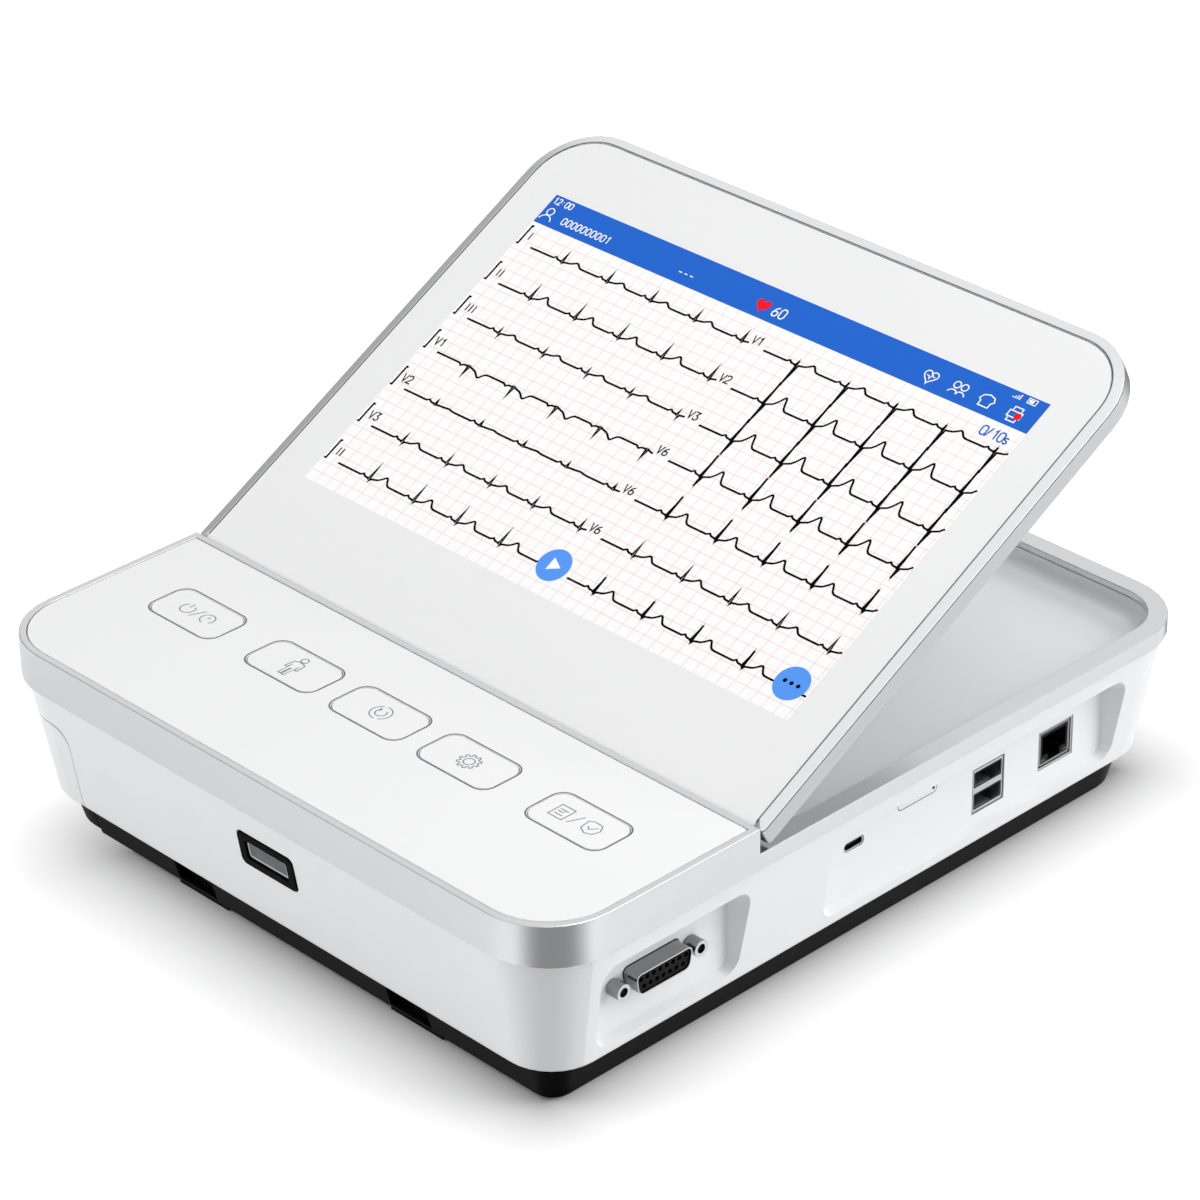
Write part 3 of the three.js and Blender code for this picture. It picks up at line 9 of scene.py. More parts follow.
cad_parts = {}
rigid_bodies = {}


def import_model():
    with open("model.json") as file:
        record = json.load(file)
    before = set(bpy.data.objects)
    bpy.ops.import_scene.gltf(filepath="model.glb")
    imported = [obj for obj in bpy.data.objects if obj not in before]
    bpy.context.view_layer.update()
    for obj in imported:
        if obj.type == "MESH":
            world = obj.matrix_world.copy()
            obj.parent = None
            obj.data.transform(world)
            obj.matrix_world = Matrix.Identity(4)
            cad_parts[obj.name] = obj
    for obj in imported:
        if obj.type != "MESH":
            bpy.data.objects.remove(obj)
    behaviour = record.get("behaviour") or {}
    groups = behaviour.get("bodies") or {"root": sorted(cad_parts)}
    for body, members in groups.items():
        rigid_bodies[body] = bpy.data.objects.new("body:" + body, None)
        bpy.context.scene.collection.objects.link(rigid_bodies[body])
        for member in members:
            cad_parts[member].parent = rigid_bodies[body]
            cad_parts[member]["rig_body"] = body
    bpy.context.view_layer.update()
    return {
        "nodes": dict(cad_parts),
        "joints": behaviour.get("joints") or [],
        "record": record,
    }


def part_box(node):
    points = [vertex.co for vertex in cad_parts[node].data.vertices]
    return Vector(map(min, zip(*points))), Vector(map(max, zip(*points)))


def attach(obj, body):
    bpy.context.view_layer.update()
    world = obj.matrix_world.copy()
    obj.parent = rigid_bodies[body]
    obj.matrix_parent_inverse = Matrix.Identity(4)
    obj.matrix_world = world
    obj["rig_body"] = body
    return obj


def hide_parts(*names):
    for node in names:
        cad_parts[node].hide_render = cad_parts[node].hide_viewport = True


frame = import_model()

# Lengths are in millimetres unless a comment says otherwise
MM = 0.001

# Camera, at the photograph's viewing angle

CAMERA_AZIMUTH = math.radians(46.096)
CAMERA_ELEVATION = math.radians(29.829)
CAMERA_ROLL = math.radians(-0.773)
CAMERA_DISTANCE = 1619.21 * MM
CAMERA_TARGET = Vector((-54.739, 54.217, 31.2)) * MM
CAMERA_LENS = 139.48
SENSOR_WIDTH = 36.0


def pointing(bearing, elevation):
    """The direction at an elevation and at a bearing that turns from the front towards the right."""
    level = math.cos(elevation)
    return Vector((math.sin(bearing) * level, -math.cos(bearing) * level, math.sin(elevation)))


def make_camera():
    data = bpy.data.cameras.new("photo_camera")
    data.lens = CAMERA_LENS
    data.sensor_width = SENSOR_WIDTH
    camera = bpy.data.objects.new("photo_camera", data)
    bpy.context.scene.collection.objects.link(camera)
    back = pointing(CAMERA_AZIMUTH, CAMERA_ELEVATION)
    side = Vector((math.cos(CAMERA_AZIMUTH), math.sin(CAMERA_AZIMUTH), 0.0))
    up = back.cross(side)
    right = side * math.cos(CAMERA_ROLL) + up * math.sin(CAMERA_ROLL)
    top = back.cross(right)
    rows = [(right[i], top[i], back[i]) for i in range(3)]
    camera.location = CAMERA_TARGET + back * CAMERA_DISTANCE
    camera.rotation_mode = "QUATERNION"
    camera.rotation_quaternion = Matrix(rows).to_quaternion()
    bpy.context.scene.camera = camera


make_camera()

# Materials

GRAIN_DETAIL = 4.0
CLOUD_DETAIL = 2.0
LEAST_ROUGHNESS = 0.02
COAT_ROUGHNESS = 0.06


def tree_of(name):
    """A new material with its nodes, its links and its shader."""
    material = bpy.data.materials.new(name)
    material.use_nodes = True
    nodes = material.node_tree.nodes
    return material, nodes, material.node_tree.links, nodes["Principled BSDF"]


def linear(colour):
    """An sRGB colour of three shares as the linear colour of four that a shader takes."""
    def one(c):
        return c / 12.92 if c <= 0.04045 else ((c + 0.055) / 1.055) ** 2.4
    return tuple(one(c) for c in colour) + (1.0,)


def noise_of(nodes, links, scale, stretch, detail):
    """A noise fixed to the object, stretched along its axes."""
    where = nodes.new("ShaderNodeTexCoord")
    place = nodes.new("ShaderNodeMapping")
    place.inputs["Scale"].default_value = stretch
    noise = nodes.new("ShaderNodeTexNoise")
    noise.inputs["Scale"].default_value = scale
    noise.inputs["Detail"].default_value = detail
    links.new(where.outputs["Object"], place.inputs["Vector"])
    links.new(place.outputs["Vector"], noise.inputs["Vector"])
    return noise.outputs["Fac"]


def surface(name, colour, roughness, metallic=0.0, grain=900.0, bump=0.05, depth=0.05, stretch=(1, 1, 1),
            tint=0.02, spread=0.06, coat=0.0, glow=0.0, cloud=9.0, specular=0.5):
    """A finish whose colour drifts by tint over large clouds.

    Its fine grain moves its roughness by spread, and its relief by bump and depth.
    """
    material, nodes, links, shader = tree_of(name)
    drift = nodes.new("ShaderNodeMix")
    drift.data_type = "RGBA"
    drift.inputs["A"].default_value = linear([max(0.0, c - tint) for c in colour])
    drift.inputs["B"].default_value = linear([min(1.0, c + tint / 2) for c in colour])
    links.new(noise_of(nodes, links, cloud, (1, 1, 1), CLOUD_DETAIL), drift.inputs["Factor"])
    links.new(drift.outputs["Result"], shader.inputs["Base Color"])
    fine = noise_of(nodes, links, grain, stretch, GRAIN_DETAIL)
    rough = nodes.new("ShaderNodeMapRange")
    rough.inputs["To Min"].default_value = max(LEAST_ROUGHNESS, roughness - spread)
    rough.inputs["To Max"].default_value = min(1.0, roughness + spread)
    links.new(fine, rough.inputs["Value"])
    links.new(rough.outputs["Result"], shader.inputs["Roughness"])
    relief = nodes.new("ShaderNodeBump")
    relief.inputs["Strength"].default_value = bump
    relief.inputs["Distance"].default_value = depth * MM
    links.new(fine, relief.inputs["Height"])
    links.new(relief.outputs["Normal"], shader.inputs["Normal"])
    shader.inputs["Metallic"].default_value = metallic
    shader.inputs["Specular IOR Level"].default_value = specular
    shader.inputs["Coat Weight"].default_value = coat
    shader.inputs["Coat Roughness"].default_value = COAT_ROUGHNESS
    if glow:
        shader.inputs["Emission Color"].default_value = linear(colour)
        shader.inputs["Emission Strength"].default_value = glow
    return material


# The finish of each material slot of the record
FINISH = {
    "housing_white": surface("housing_white", (0.925, 0.928, 0.932), 0.4, bump=0.05, grain=1500, tint=0.01),
    "deck_white": surface("deck_white", (0.968, 0.969, 0.972), 0.34, bump=0.02, grain=1200, tint=0.006),
    "frame_silver": surface("frame_silver", (0.87, 0.873, 0.88), 0.2, metallic=1.0, grain=260,
                            stretch=(0.15, 0.15, 7), bump=0.02, spread=0.05, tint=0.012),
    "tray_silver": surface("tray_silver", (0.968, 0.97, 0.974), 0.42, metallic=0.24, grain=1500, bump=0.0,
                           spread=0.02, tint=0.012),
    "lid_silver": surface("lid_silver", (0.78, 0.784, 0.792), 0.3, metallic=1.0, grain=120,
                          stretch=(0.12, 9, 9), bump=0.006, spread=0.03, tint=0.012),
    "bezel_silver": surface("bezel_silver", (0.945, 0.948, 0.952), 0.2, metallic=1.0, bump=0.0, spread=0.02,
                            tint=0.01),
    "base_black": surface("base_black", (0.04, 0.042, 0.046), 0.42, bump=0.12, grain=1400, depth=0.08,
                          tint=0.01, specular=0.03),
    "rubber_black": surface("rubber_black", (0.07, 0.07, 0.075), 0.78, bump=0.3, grain=900, depth=0.12),
    "inner_black": surface("inner_black", (0.05, 0.052, 0.056), 0.4, bump=0.05, tint=0.01, specular=0.1),
    "gloss_black": surface("gloss_black", (0.02, 0.02, 0.023), 0.3, bump=0.02, tint=0.005, specular=0.015),
    "scanner_glass": surface("scanner_glass", (0.38, 0.383, 0.393), 0.16, bump=0.0, tint=0.09, cloud=160,
                             specular=0.2),
    "screen_grey": surface("screen_grey", (0.95, 0.951, 0.954), 0.2, bump=0.0, coat=0.5, tint=0.008),
    "display_face": surface("display_face", (0.93, 0.94, 0.96), 0.2),
    "board_green": surface("board_green", (0.10, 0.33, 0.20), 0.38, bump=0.15, grain=500, tint=0.06,
                           cloud=200),
    "battery_blue": surface("battery_blue", (0.16, 0.28, 0.46), 0.35, bump=0.05, coat=0.3),
    "steel_bare": surface("steel_bare", (0.76, 0.765, 0.775), 0.22, metallic=1.0, grain=240,
                          stretch=(0.2, 1, 6), bump=0.02, spread=0.04),
    "chrome_bright": surface("chrome_bright", (0.82, 0.82, 0.83), 0.12, metallic=1.0, bump=0.0, spread=0.03),
    "ceramic_dark": surface("ceramic_dark", (0.2, 0.19, 0.18), 0.2, bump=0.03, coat=0.4),
    "nylon_cream": surface("nylon_cream", (0.885, 0.875, 0.83), 0.45, bump=0.08),
    "paper_white": surface("paper_white", (0.96, 0.95, 0.935), 0.85, bump=0.2, grain=600, depth=0.05,
                           stretch=(1, 1, 30)),
}
FINISH["key_white"] = FINISH["deck_white"]
# Finishes of some faces of the sockets and screws: painted shade on the round sides of the chrome shells and
# screws and deep inside the sockets, painted light on the USB tongues, and the metal of the mains inlet's
# contact pins
SHADED = {
    # Painted shade: a darker chrome for the round sides of the shells and screws
    "shaded_side": surface("chrome_side_shade", (0.56, 0.56, 0.57), 0.1, metallic=1.0, bump=0.0, spread=0.03),
    # Painted shade, over a socket's own dark insulator: near black for the faces deep inside a socket
    "inside": surface("socket_inside", (0.07, 0.072, 0.078), 0.35, bump=0.0, tint=0.01, specular=0.3),
    # Painted light: a light grey that lets the USB tongues show in the socket's shade
    "tongue": surface("socket_tongue", (0.6, 0.61, 0.63), 0.4, bump=0.0, tint=0.02, specular=0.4),
    "pins": surface("inlet_pins", (0.82, 0.81, 0.79), 0.2, metallic=1.0, bump=0.0),
}

# Pieces laid on a flat face of the machine


class Plane:
    """A flat face of the machine: its corner, its two directions along the face, and the one out of it."""

    def __init__(self, corner, across, along):
        self.corner = Vector(corner)
        self.across = Vector(across).normalized()
        self.along = Vector(along).normalized()
        self.out = self.across.cross(self.along)

    def at(self, u, v, rise=0.0):
        """The point u and v millimetres along the face and rise out of it, in metres."""
        return self.corner + (self.across * u + self.along * v + self.out * rise) * MM


# A stroke's corners reach at most its half width divided by this share
MITRE_SHARE = 0.35
NO_LENGTH = 1e-6


def mesh_piece(name, bm, material, body):
    """Makes the piece with this mesh, which rides on a body."""
    bmesh.ops.recalc_face_normals(bm, faces=bm.faces)
    mesh = bpy.data.meshes.new(name)
    bm.to_mesh(mesh)
    bm.free()
    piece = bpy.data.objects.new(name, mesh)
    bpy.context.scene.collection.objects.link(piece)
    mesh.materials.append(material)
    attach(piece, body)


def slab(bm, plane, outline, low, high):
    """A flat plate with this outline, from low to high above the plane."""
    foot = [bm.verts.new(plane.at(u, v, low)) for u, v in outline]
    head = [bm.verts.new(plane.at(u, v, high)) for u, v in outline]
    bm.faces.new(head)
    bm.faces.new(list(reversed(foot)))
    count = len(outline)
    for i in range(count):
        j = (i + 1) % count
        bm.faces.new((foot[i], foot[j], head[j], head[i]))


def offsets(path, half, closed):
    """The two sides of a line of this half width along a path, mitred at its corners."""
    count = len(path)
    left, right = [], []
    for i, (u, v) in enumerate(path):
        before = path[i - 1] if closed or i else None
        after = path[(i + 1) % count] if closed or i < count - 1 else None
        first = Vector((u - before[0], v - before[1])).normalized() if before else None
        second = Vector((after[0] - u, after[1] - v)).normalized() if after else None
        first = first or second
        second = second or first
        normal = Vector((-first.y - second.y, first.x + second.x))
        if normal.length < NO_LENGTH:
            normal = Vector((-first.y, first.x))
        normal.normalize()
        reach = half / max(MITRE_SHARE, normal.dot(Vector((-first.y, first.x))))
        left.append((u + normal.x * reach, v + normal.y * reach))
        right.append((u - normal.x * reach, v - normal.y * reach))
    return left, right


def stroke(bm, plane, path, width, low, high, closed=False):
    """A thin raised line along a path, closed on every side."""
    left, right = offsets(path, width / 2, closed)
    rings = []
    for a, b in zip(left, right):
        rings.append([bm.verts.new(plane.at(*a, low)), bm.verts.new(plane.at(*b, low)),
                      bm.verts.new(plane.at(*b, high)), bm.verts.new(plane.at(*a, high))])
    count = len(rings)
    for i in range(count if closed else count - 1):
        here, there = rings[i], rings[(i + 1) % count]
        for k in range(4):
            m = (k + 1) % 4
            bm.faces.new((here[k], here[m], there[m], there[k]))
    if not closed:
        bm.faces.new(rings[0])
        bm.faces.new(list(reversed(rings[-1])))


def arc(centre, radius, start, end, steps=20):
    """Points along an arc, its angles in degrees."""
    turn = [math.radians(start + (end - start) * i / steps) for i in range(steps + 1)]
    return [(centre[0] + radius * math.cos(a), centre[1] + radius * math.sin(a)) for a in turn]


def circle(centre, radius, steps=32):
    return arc(centre, radius, 0, 360, steps)[:-1]


def rectangle(left, foot, right, top):
    return [(left, foot), (right, foot), (right, top), (left, top)]


def extent(node, across, along):
    """The middle and the two half sizes of a node's box along two of its axes, in millimetres."""
    low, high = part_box(node)
    middle = ((low[across] + high[across]) / 2 / MM, (low[along] + high[along]) / 2 / MM)
    return middle, (high[across] - low[across]) / 2 / MM, (high[along] - low[along]) / 2 / MM


def rounded_box(middle, half_u, half_v, corner, steps=6):
    """Points round a box with rounded corners."""
    points = []
    for sign_u, sign_v, start in ((1, 1, 0), (-1, 1, 90), (-1, -1, 180), (1, -1, 270)):
        centre = (middle[0] + sign_u * (half_u - corner), middle[1] + sign_v * (half_v - corner))
        points += arc(centre, corner, start, start + 90, steps)
    return points


# The lid and the deck

tilt_joint = next(j for j in frame["joints"] if j["name"] == "screen_tilt")
TILT = -math.radians(tilt_joint["range_deg"][0])
HINGE = Vector(tilt_joint["pos_m"])
# The lid's foot and its face, measured from the hinge's axis along the lid and out of it
LID_FOOT = -2.6
LID_FACE = 2.9
# The lit display, in the middle of the lid, with its foot this far up from the lid's foot
DISPLAY = {"foot": 36.0, "width": 226.4, "height": 136.8, "header": 13.1}

lid_up = Vector((0, math.cos(TILT), math.sin(TILT)))
lid_out = Vector((0, -math.sin(TILT), math.cos(TILT)))
display_foot = HINGE + (lid_up * (LID_FOOT + DISPLAY["foot"]) + lid_out * LID_FACE) * MM
display_plane = Plane(display_foot - Vector((DISPLAY["width"] / 2 * MM, 0, 0)), (1, 0, 0), lid_up)
deck_plane = Plane((0, 0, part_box("key_copy")[1].z), (1, 0, 0), (0, 1, 0))

# The lit display


def ink(name, colour, glow=0.1, specular=0.15):
    """A colour of the lit display, under its smooth cover."""
    return surface(name, colour, 0.25, bump=0.0, tint=0.004, spread=0.02, glow=glow, specular=specular)


INK = {
    "paper": ink("display_chart", (0.965, 0.965, 0.965)),
    "pink": ink("display_grid", (0.93, 0.83, 0.825)),
    "blue": ink("display_header", (0.11, 0.385, 0.785)),
    "sky": ink("display_button", (0.33, 0.585, 0.94)),
    "white": ink("display_white", (0.97, 0.975, 0.98)),
    "black": ink("display_trace", (0.02, 0.02, 0.025), 0.0, 0.02),
    "red": ink("display_red", (0.9, 0.05, 0.1), 0.2),
}
LEVEL = {"sheet": 0.02, "grid": 0.05, "trace": 0.09, "button": 0.13, "mark": 0.17}
SEAM = DISPLAY["height"] - DISPLAY["header"]

GRID = {"across": 5.0, "along": 4.27, "width": 0.24, "first": 5.2}
ROWS = [113.8, 96.2, 79.3, 63.0, 45.2, 27.6, 10.1]
LEFT_BEATS = [23.4, 45.5, 66.5, 87.4, 109.4]
RIGHT_BEATS = [134.6, 156.9, 178.2, 199.4, 221.3]
RHYTHM_BEATS = [132.1, 154.4, 176.3, 198.9]
# For each row: the height of the R wave, the depth of the S wave and the height of the T wave
LEFT_WAVES = [(4.2, 0.6, 1.6), (5.9, 0.8, 2.7), (2.0, 1.8, 1.4), (-4.6, -0.3, -2.4),
              (1.8, 0.3, 0.4), (3.4, 1.1, 1.8), (6.6, 0.9, 2.9)]
RIGHT_WAVES = [(1.8, 9.2, 2.1), (9.6, 9.0, 5.0), (9.6, 6.4, 5.1), (9.3, 4.4, 4.6),
               (8.4, 1.4, 3.4), (5.4, 0.9, 2.1), (6.2, 1.1, 2.8)]
# One beat, from its middle: the P wave, the sharp QRS, and the T wave in shares of its height
P_WAVE = [(-4.6, 0.0), (-4.0, 0.35), (-3.4, 0.75), (-2.8, 0.3), (-2.2, 0.0), (-0.9, -0.1)]
QRS = {"start": -0.45, "dip": 0.3, "peak": -0.05, "trough": 0.4, "end": 0.9, "rest": 0.1, "level": 2.4,
       "level_share": 0.12}
T_WAVE_SHARES = [(3.4, 0.22), (4.4, 0.46), (5.2, 0.72), (5.9, 0.96), (6.4, 1.0), (6.9, 0.86), (7.5, 0.52),
                 (8.2, 0.2), (9.0, 0.04), (10.0, 0.0)]
# The traces of a row: the ends of its left and right halves, and how much lower the right half lies
TRACE = {"start": 7.5, "middle": 112.4, "restart": 119.5, "margin": 0.3, "drop": 0.3, "width": 0.74,
         "least_step": 0.02, "near_end": 1.0}
# The stroke down each QRS wave that is taller than least
SPIKE = {"least": 7.0, "width": 0.82, "foot": 0.25}
# The step before each row that shows the scale of the traces
PULSE = {"start": 0.5, "step": 1.4, "end": 2.2, "drop": 0.2, "height": 8.0}
LEFT_LABELS = ["I", "II", "III", "V1", "V2", "V3", "II"]
RIGHT_LABELS = ["V1", "V2", "V3", "V6", "V6", "V6", ""]
LABEL = {"left": 3.4, "left_rise": 2.4, "right": 112.9, "right_rise": 0.6, "height": 3.2, "line": 0.46,
         "narrow_share": 0.5, "pitch_share": 0.75}


def beat(centre, base, waves):
    """The points of one heart beat: a P wave, the sharp QRS, then the slower T wave."""
    rise, fall, late = waves
    sign = -1.0 if rise < 0 else 1.0
    points = [(centre + u, base + v * sign) for u, v in P_WAVE]
    points += [(centre + QRS["start"], base - QRS["dip"] * sign), (centre + QRS["peak"], base + rise),
               (centre + QRS["trough"], base - fall), (centre + QRS["end"], base - QRS["rest"] * sign),
               (centre + QRS["level"], base + QRS["level_share"] * late)]
    return points + [(centre + u, base + v * late) for u, v in T_WAVE_SHARES]


def spikes(bm, beats, base, waves, low, high):
    """A thicker stroke down each tall and steep QRS wave, as a pen draws it up and down."""
    rise, fall = waves[:2]
    if rise + fall < SPIKE["least"]:
        return
    for centre in beats:
        path = [(centre + QRS["peak"], base + rise), (centre + SPIKE["foot"], base - fall)]
        stroke(bm, display_plane, path, SPIKE["width"], low, high)


def trace(start, end, beats, base, waves):
    """The path of one trace, with its beats joined by level stretches."""
    points = [(start, base)]
    for centre in beats:
        after = points[-1][0] + TRACE["least_step"]
        points += [(u, v) for u, v in beat(centre, base, waves) if after < u < end]
    last_place, last_level = points[-1]
    return points + [(end, last_level if end - last_place < TRACE["near_end"] else base)]


# Each character as lines, in shares of its height
GLYPH_SHARES = {
    "0": [[(0.18, 0), (0.02, 0.2), (0, 0.8), (0.16, 1), (0.44, 1), (0.6, 0.8), (0.58, 0.2), (0.42, 0),
           (0.18, 0)]],
    "1": [[(0.12, 0.78), (0.34, 1), (0.34, 0)]],
    "2": [[(0.02, 0.8), (0.16, 1), (0.44, 1), (0.58, 0.8), (0.5, 0.55), (0, 0), (0.6, 0)]],
    "3": [[(0, 1), (0.56, 1), (0.26, 0.6), (0.52, 0.45), (0.58, 0.2), (0.4, 0), (0.15, 0), (0, 0.16)]],
    "6": [[(0.5, 0.97), (0.2, 0.75), (0.02, 0.35), (0.06, 0.1), (0.24, 0), (0.46, 0.04), (0.58, 0.24),
           (0.52, 0.48), (0.32, 0.56), (0.08, 0.44)]],
    ":": [[(0.2, 0.28), (0.2, 0.36)], [(0.2, 0.66), (0.2, 0.74)]],
    "/": [[(0, -0.05), (0.42, 1.05)]],
    "s": [[(0.42, 0.55), (0.26, 0.66), (0.06, 0.56), (0.08, 0.42), (0.36, 0.3), (0.42, 0.14), (0.24, 0),
           (0.02, 0.1)]],
    "I": [[(0.2, 0), (0.2, 1)]],
    "V": [[(0, 1), (0.3, 0), (0.6, 1)]],
    "-": [[(0.05, 0.5), (0.5, 0.5)]],
}


def write(bm, text, left, foot, height, line, pitch_share):
    """Plain characters along the display, each drawn with a line of this width."""
    for index, character in enumerate(text):
        start = left + index * height * pitch_share
        for path in GLYPH_SHARES[character]:
            stroke(bm, display_plane, [(start + u * height, foot + v * height) for u, v in path], line,
                   LEVEL["sheet"], LEVEL["trace"])


def heart(centre, size, steps=28):
    """The outline of a heart of this width, on the usual heart curve."""
    points = []
    for i in range(steps):
        a = 2 * math.pi * i / steps
        u = math.sin(a) ** 3
        v = (13 * math.cos(a) - 5 * math.cos(2 * a) - 2 * math.cos(3 * a) - math.cos(4 * a)) / 16
        points.append((centre[0] + u * size / 2, centre[1] + (v + 0.1) * size / 2))
    return points


def display_sheet():
    """The white chart and the blue header bar."""
    sheets = (("display_chart", "paper", 0, SEAM), ("display_header", "blue", SEAM, DISPLAY["height"]))
    for name, colour, foot, top in sheets:
        bm = bmesh.new()
        slab(bm, display_plane, rectangle(0, foot, DISPLAY["width"], top), 0, LEVEL["sheet"])
        mesh_piece(name, bm, INK[colour], "screen")


def display_grid():
    bm = bmesh.new()
    low, high = LEVEL["sheet"], LEVEL["grid"]
    u = GRID["first"]
    while u < DISPLAY["width"]:
        stroke(bm, display_plane, [(u, 0), (u, SEAM)], GRID["width"], low, high)
        u += GRID["across"]
    v = SEAM - GRID["along"]
    while v > 0:
        stroke(bm, display_plane, [(0, v), (DISPLAY["width"], v)], GRID["width"], low, high)
        v -= GRID["along"]
    mesh_piece("display_grid", bm, INK["pink"], "screen")


def display_traces():
    """The seven rows of traces, with their scale steps and labels."""
    bm = bmesh.new()
    low, high = LEVEL["sheet"], LEVEL["trace"]

    def draw(path):
        stroke(bm, display_plane, path, TRACE["width"], low, high)

    for row, base in enumerate(ROWS):
        beats = RHYTHM_BEATS if row == len(ROWS) - 1 else RIGHT_BEATS
        right_base = base - TRACE["drop"]
        draw(trace(TRACE["start"], TRACE["middle"], LEFT_BEATS, base, LEFT_WAVES[row]))
        draw(trace(TRACE["restart"], DISPLAY["width"] - TRACE["margin"], beats, right_base, RIGHT_WAVES[row]))
        spikes(bm, beats, right_base, RIGHT_WAVES[row], low, high)
        foot, top = base - PULSE["drop"], base + PULSE["height"]
        draw([(PULSE["start"], foot), (PULSE["step"], foot), (PULSE["step"], top), (PULSE["end"], top)])
    for base, left, right in zip(ROWS, LEFT_LABELS, RIGHT_LABELS):
        pitch = LABEL["narrow_share"] if "I" in left else LABEL["pitch_share"]
        write(bm, left, LABEL["left"], base + LABEL["left_rise"], LABEL["height"], LABEL["line"], pitch)
        write(bm, right, LABEL["right"], base + LABEL["right_rise"], LABEL["height"], LABEL["line"],
              LABEL["pitch_share"])
    mesh_piece("display_traces", bm, INK["black"], "screen")


# The header's words: text, left end, foot, height, line width, and pitch in shares of the height
HEADER_WORDS = [("12:00", 1.0, 133.2, 2.5, 0.38, 0.75), ("0000000001", 10.6, 126.7, 2.8, 0.4, 0.86),
                ("---", 67.4, 126.6, 3.0, 0.4, 0.86), ("60", 111.4, 126.6, 3.9, 0.46, 0.8)]
COUNTER_WORD = ("0/10s", 211.2, 117.2, 3.7, 0.55, 0.66)
ICON_LINE = 0.42
FINE_LINE = 0.3
# The header's line icons: each line's path, whether it closes, and its width
USER_ICON = [(circle((3.4, 129.6), 1.5, 20), True, ICON_LINE),
             (arc((3.4, 125.2), 2.7, 12, 168, 16), False, ICON_LINE)]
PULSE_ICON = [(heart((181.3, 128.8), 5.6), True, ICON_LINE),
              ([(179.6, 129.2), (180.6, 129.2), (181.2, 128.1), (181.9, 129.9), (182.4, 129.2),
                (183.2, 129.2)], False, FINE_LINE)]
GROUP_ICON = [line for u in (192.1, 195.3) for line in (
    (circle((u, 130.2), 1.3, 18), True, ICON_LINE), (arc((u, 126.1), 2.0, 20, 160, 12), False, ICON_LINE))]
SHIRT_ICON = [([(203.4, 126.6), (203.4, 128.4), (202.4, 129.2), (203.2, 130.8), (205.4, 131.5),
                (207.7, 130.8), (208.5, 129.2), (207.5, 128.4), (207.5, 126.6)], True, ICON_LINE)]
PRINTER_ICON = [([(215.2, 129.6), (215.2, 127.2), (220.4, 127.2), (220.4, 129.6)], True, ICON_LINE),
                ([(216.1, 130.0), (216.1, 131.3), (219.5, 131.3), (219.5, 130.0)], False, ICON_LINE),
                ([(216.1, 126.8), (216.1, 125.6), (219.5, 125.6), (219.5, 126.8)], False, ICON_LINE)]
SIGNAL = {"bars": 4, "left": 212.6, "pitch": 0.9, "foot": 133.9, "first": 0.5, "growth": 0.55}
BATTERY_ICON = [(rectangle(218.4, 134.0, 221.9, 136.0), True, FINE_LINE),
                ([(218.9, 135.0), (220.8, 135.0)], False, 1.2)]
RED_HEART = ((106.3, 128.6), 6.0)
RED_DOT = ((219.3, 128.0), 1.35)
BUTTON = {"play": (111.7, 11.7), "more": (218.4, 11.7), "radius": 6.4, "mark_back": 1.7, "mark_front": 3.1,
          "mark_half": 2.6, "dot": 0.75, "dot_pitch": 2.8}


def signal_bars():
    """The lines of the small rising bars that show a signal's strength."""
    foot, bars = SIGNAL["foot"], []
    for index in range(SIGNAL["bars"]):
        u = SIGNAL["left"] + index * SIGNAL["pitch"]
        bars.append(([(u, foot), (u, foot + SIGNAL["first"] + index * SIGNAL["growth"])], False, ICON_LINE))
    return bars


def display_header_marks():
    """The white words and icons on the header, the red marks, and the blue counter below it."""
    low, high = LEVEL["sheet"], LEVEL["trace"]
    bm = bmesh.new()
    for word in HEADER_WORDS:
        write(bm, *word)
    icons = USER_ICON + PULSE_ICON + GROUP_ICON + SHIRT_ICON + PRINTER_ICON + signal_bars() + BATTERY_ICON
    for path, closed, width in icons:
        stroke(bm, display_plane, path, width, low, high, closed)
    mesh_piece("display_header_marks", bm, INK["white"], "screen")
    bm = bmesh.new()
    slab(bm, display_plane, heart(*RED_HEART), low, high)
    slab(bm, display_plane, circle(*RED_DOT, 20), high, LEVEL["button"])
    mesh_piece("display_red_marks", bm, INK["red"], "screen")
    bm = bmesh.new()
    write(bm, *COUNTER_WORD)
    mesh_piece("display_counter", bm, INK["blue"], "screen")


def display_buttons():
    """Two round buttons, one with a play mark and one with three dots."""
    play, more = BUTTON["play"], BUTTON["more"]
    bm = bmesh.new()
    for centre in (play, more):
        slab(bm, display_plane, circle(centre, BUTTON["radius"], 48), LEVEL["sheet"], LEVEL["button"])
    mesh_piece("display_buttons", bm, INK["sky"], "screen")
    bm = bmesh.new()
    back, tip, half = play[0] - BUTTON["mark_back"], play[0] + BUTTON["mark_front"], BUTTON["mark_half"]
    slab(bm, display_plane, [(back, play[1] - half), (tip, play[1]), (back, play[1] + half)],
         LEVEL["button"], LEVEL["mark"])
    mesh_piece("display_play_mark", bm, INK["white"], "screen")
    bm = bmesh.new()
    for step in (-1, 0, 1):
        dot = circle((more[0] + step * BUTTON["dot_pitch"], more[1]), BUTTON["dot"], 20)
        slab(bm, display_plane, dot, LEVEL["button"], LEVEL["mark"])
    mesh_piece("display_more_dots", bm, INK["black"], "screen")


display_sheet()
display_grid()
display_traces()
display_header_marks()
display_buttons()

# Key icons

PRINT = {
    "icon": surface("key_icon_ink", (0.5, 0.507, 0.52), 0.4, bump=0.0, tint=0.01),
    # Painted shade for the gaps round the keys
    "gap_shade": surface("key_gap_shade", (0.44, 0.445, 0.46), 0.6, bump=0.0, tint=0.01, specular=0.2),
}
ICON = {"width": 0.4, "rise": 0.03}
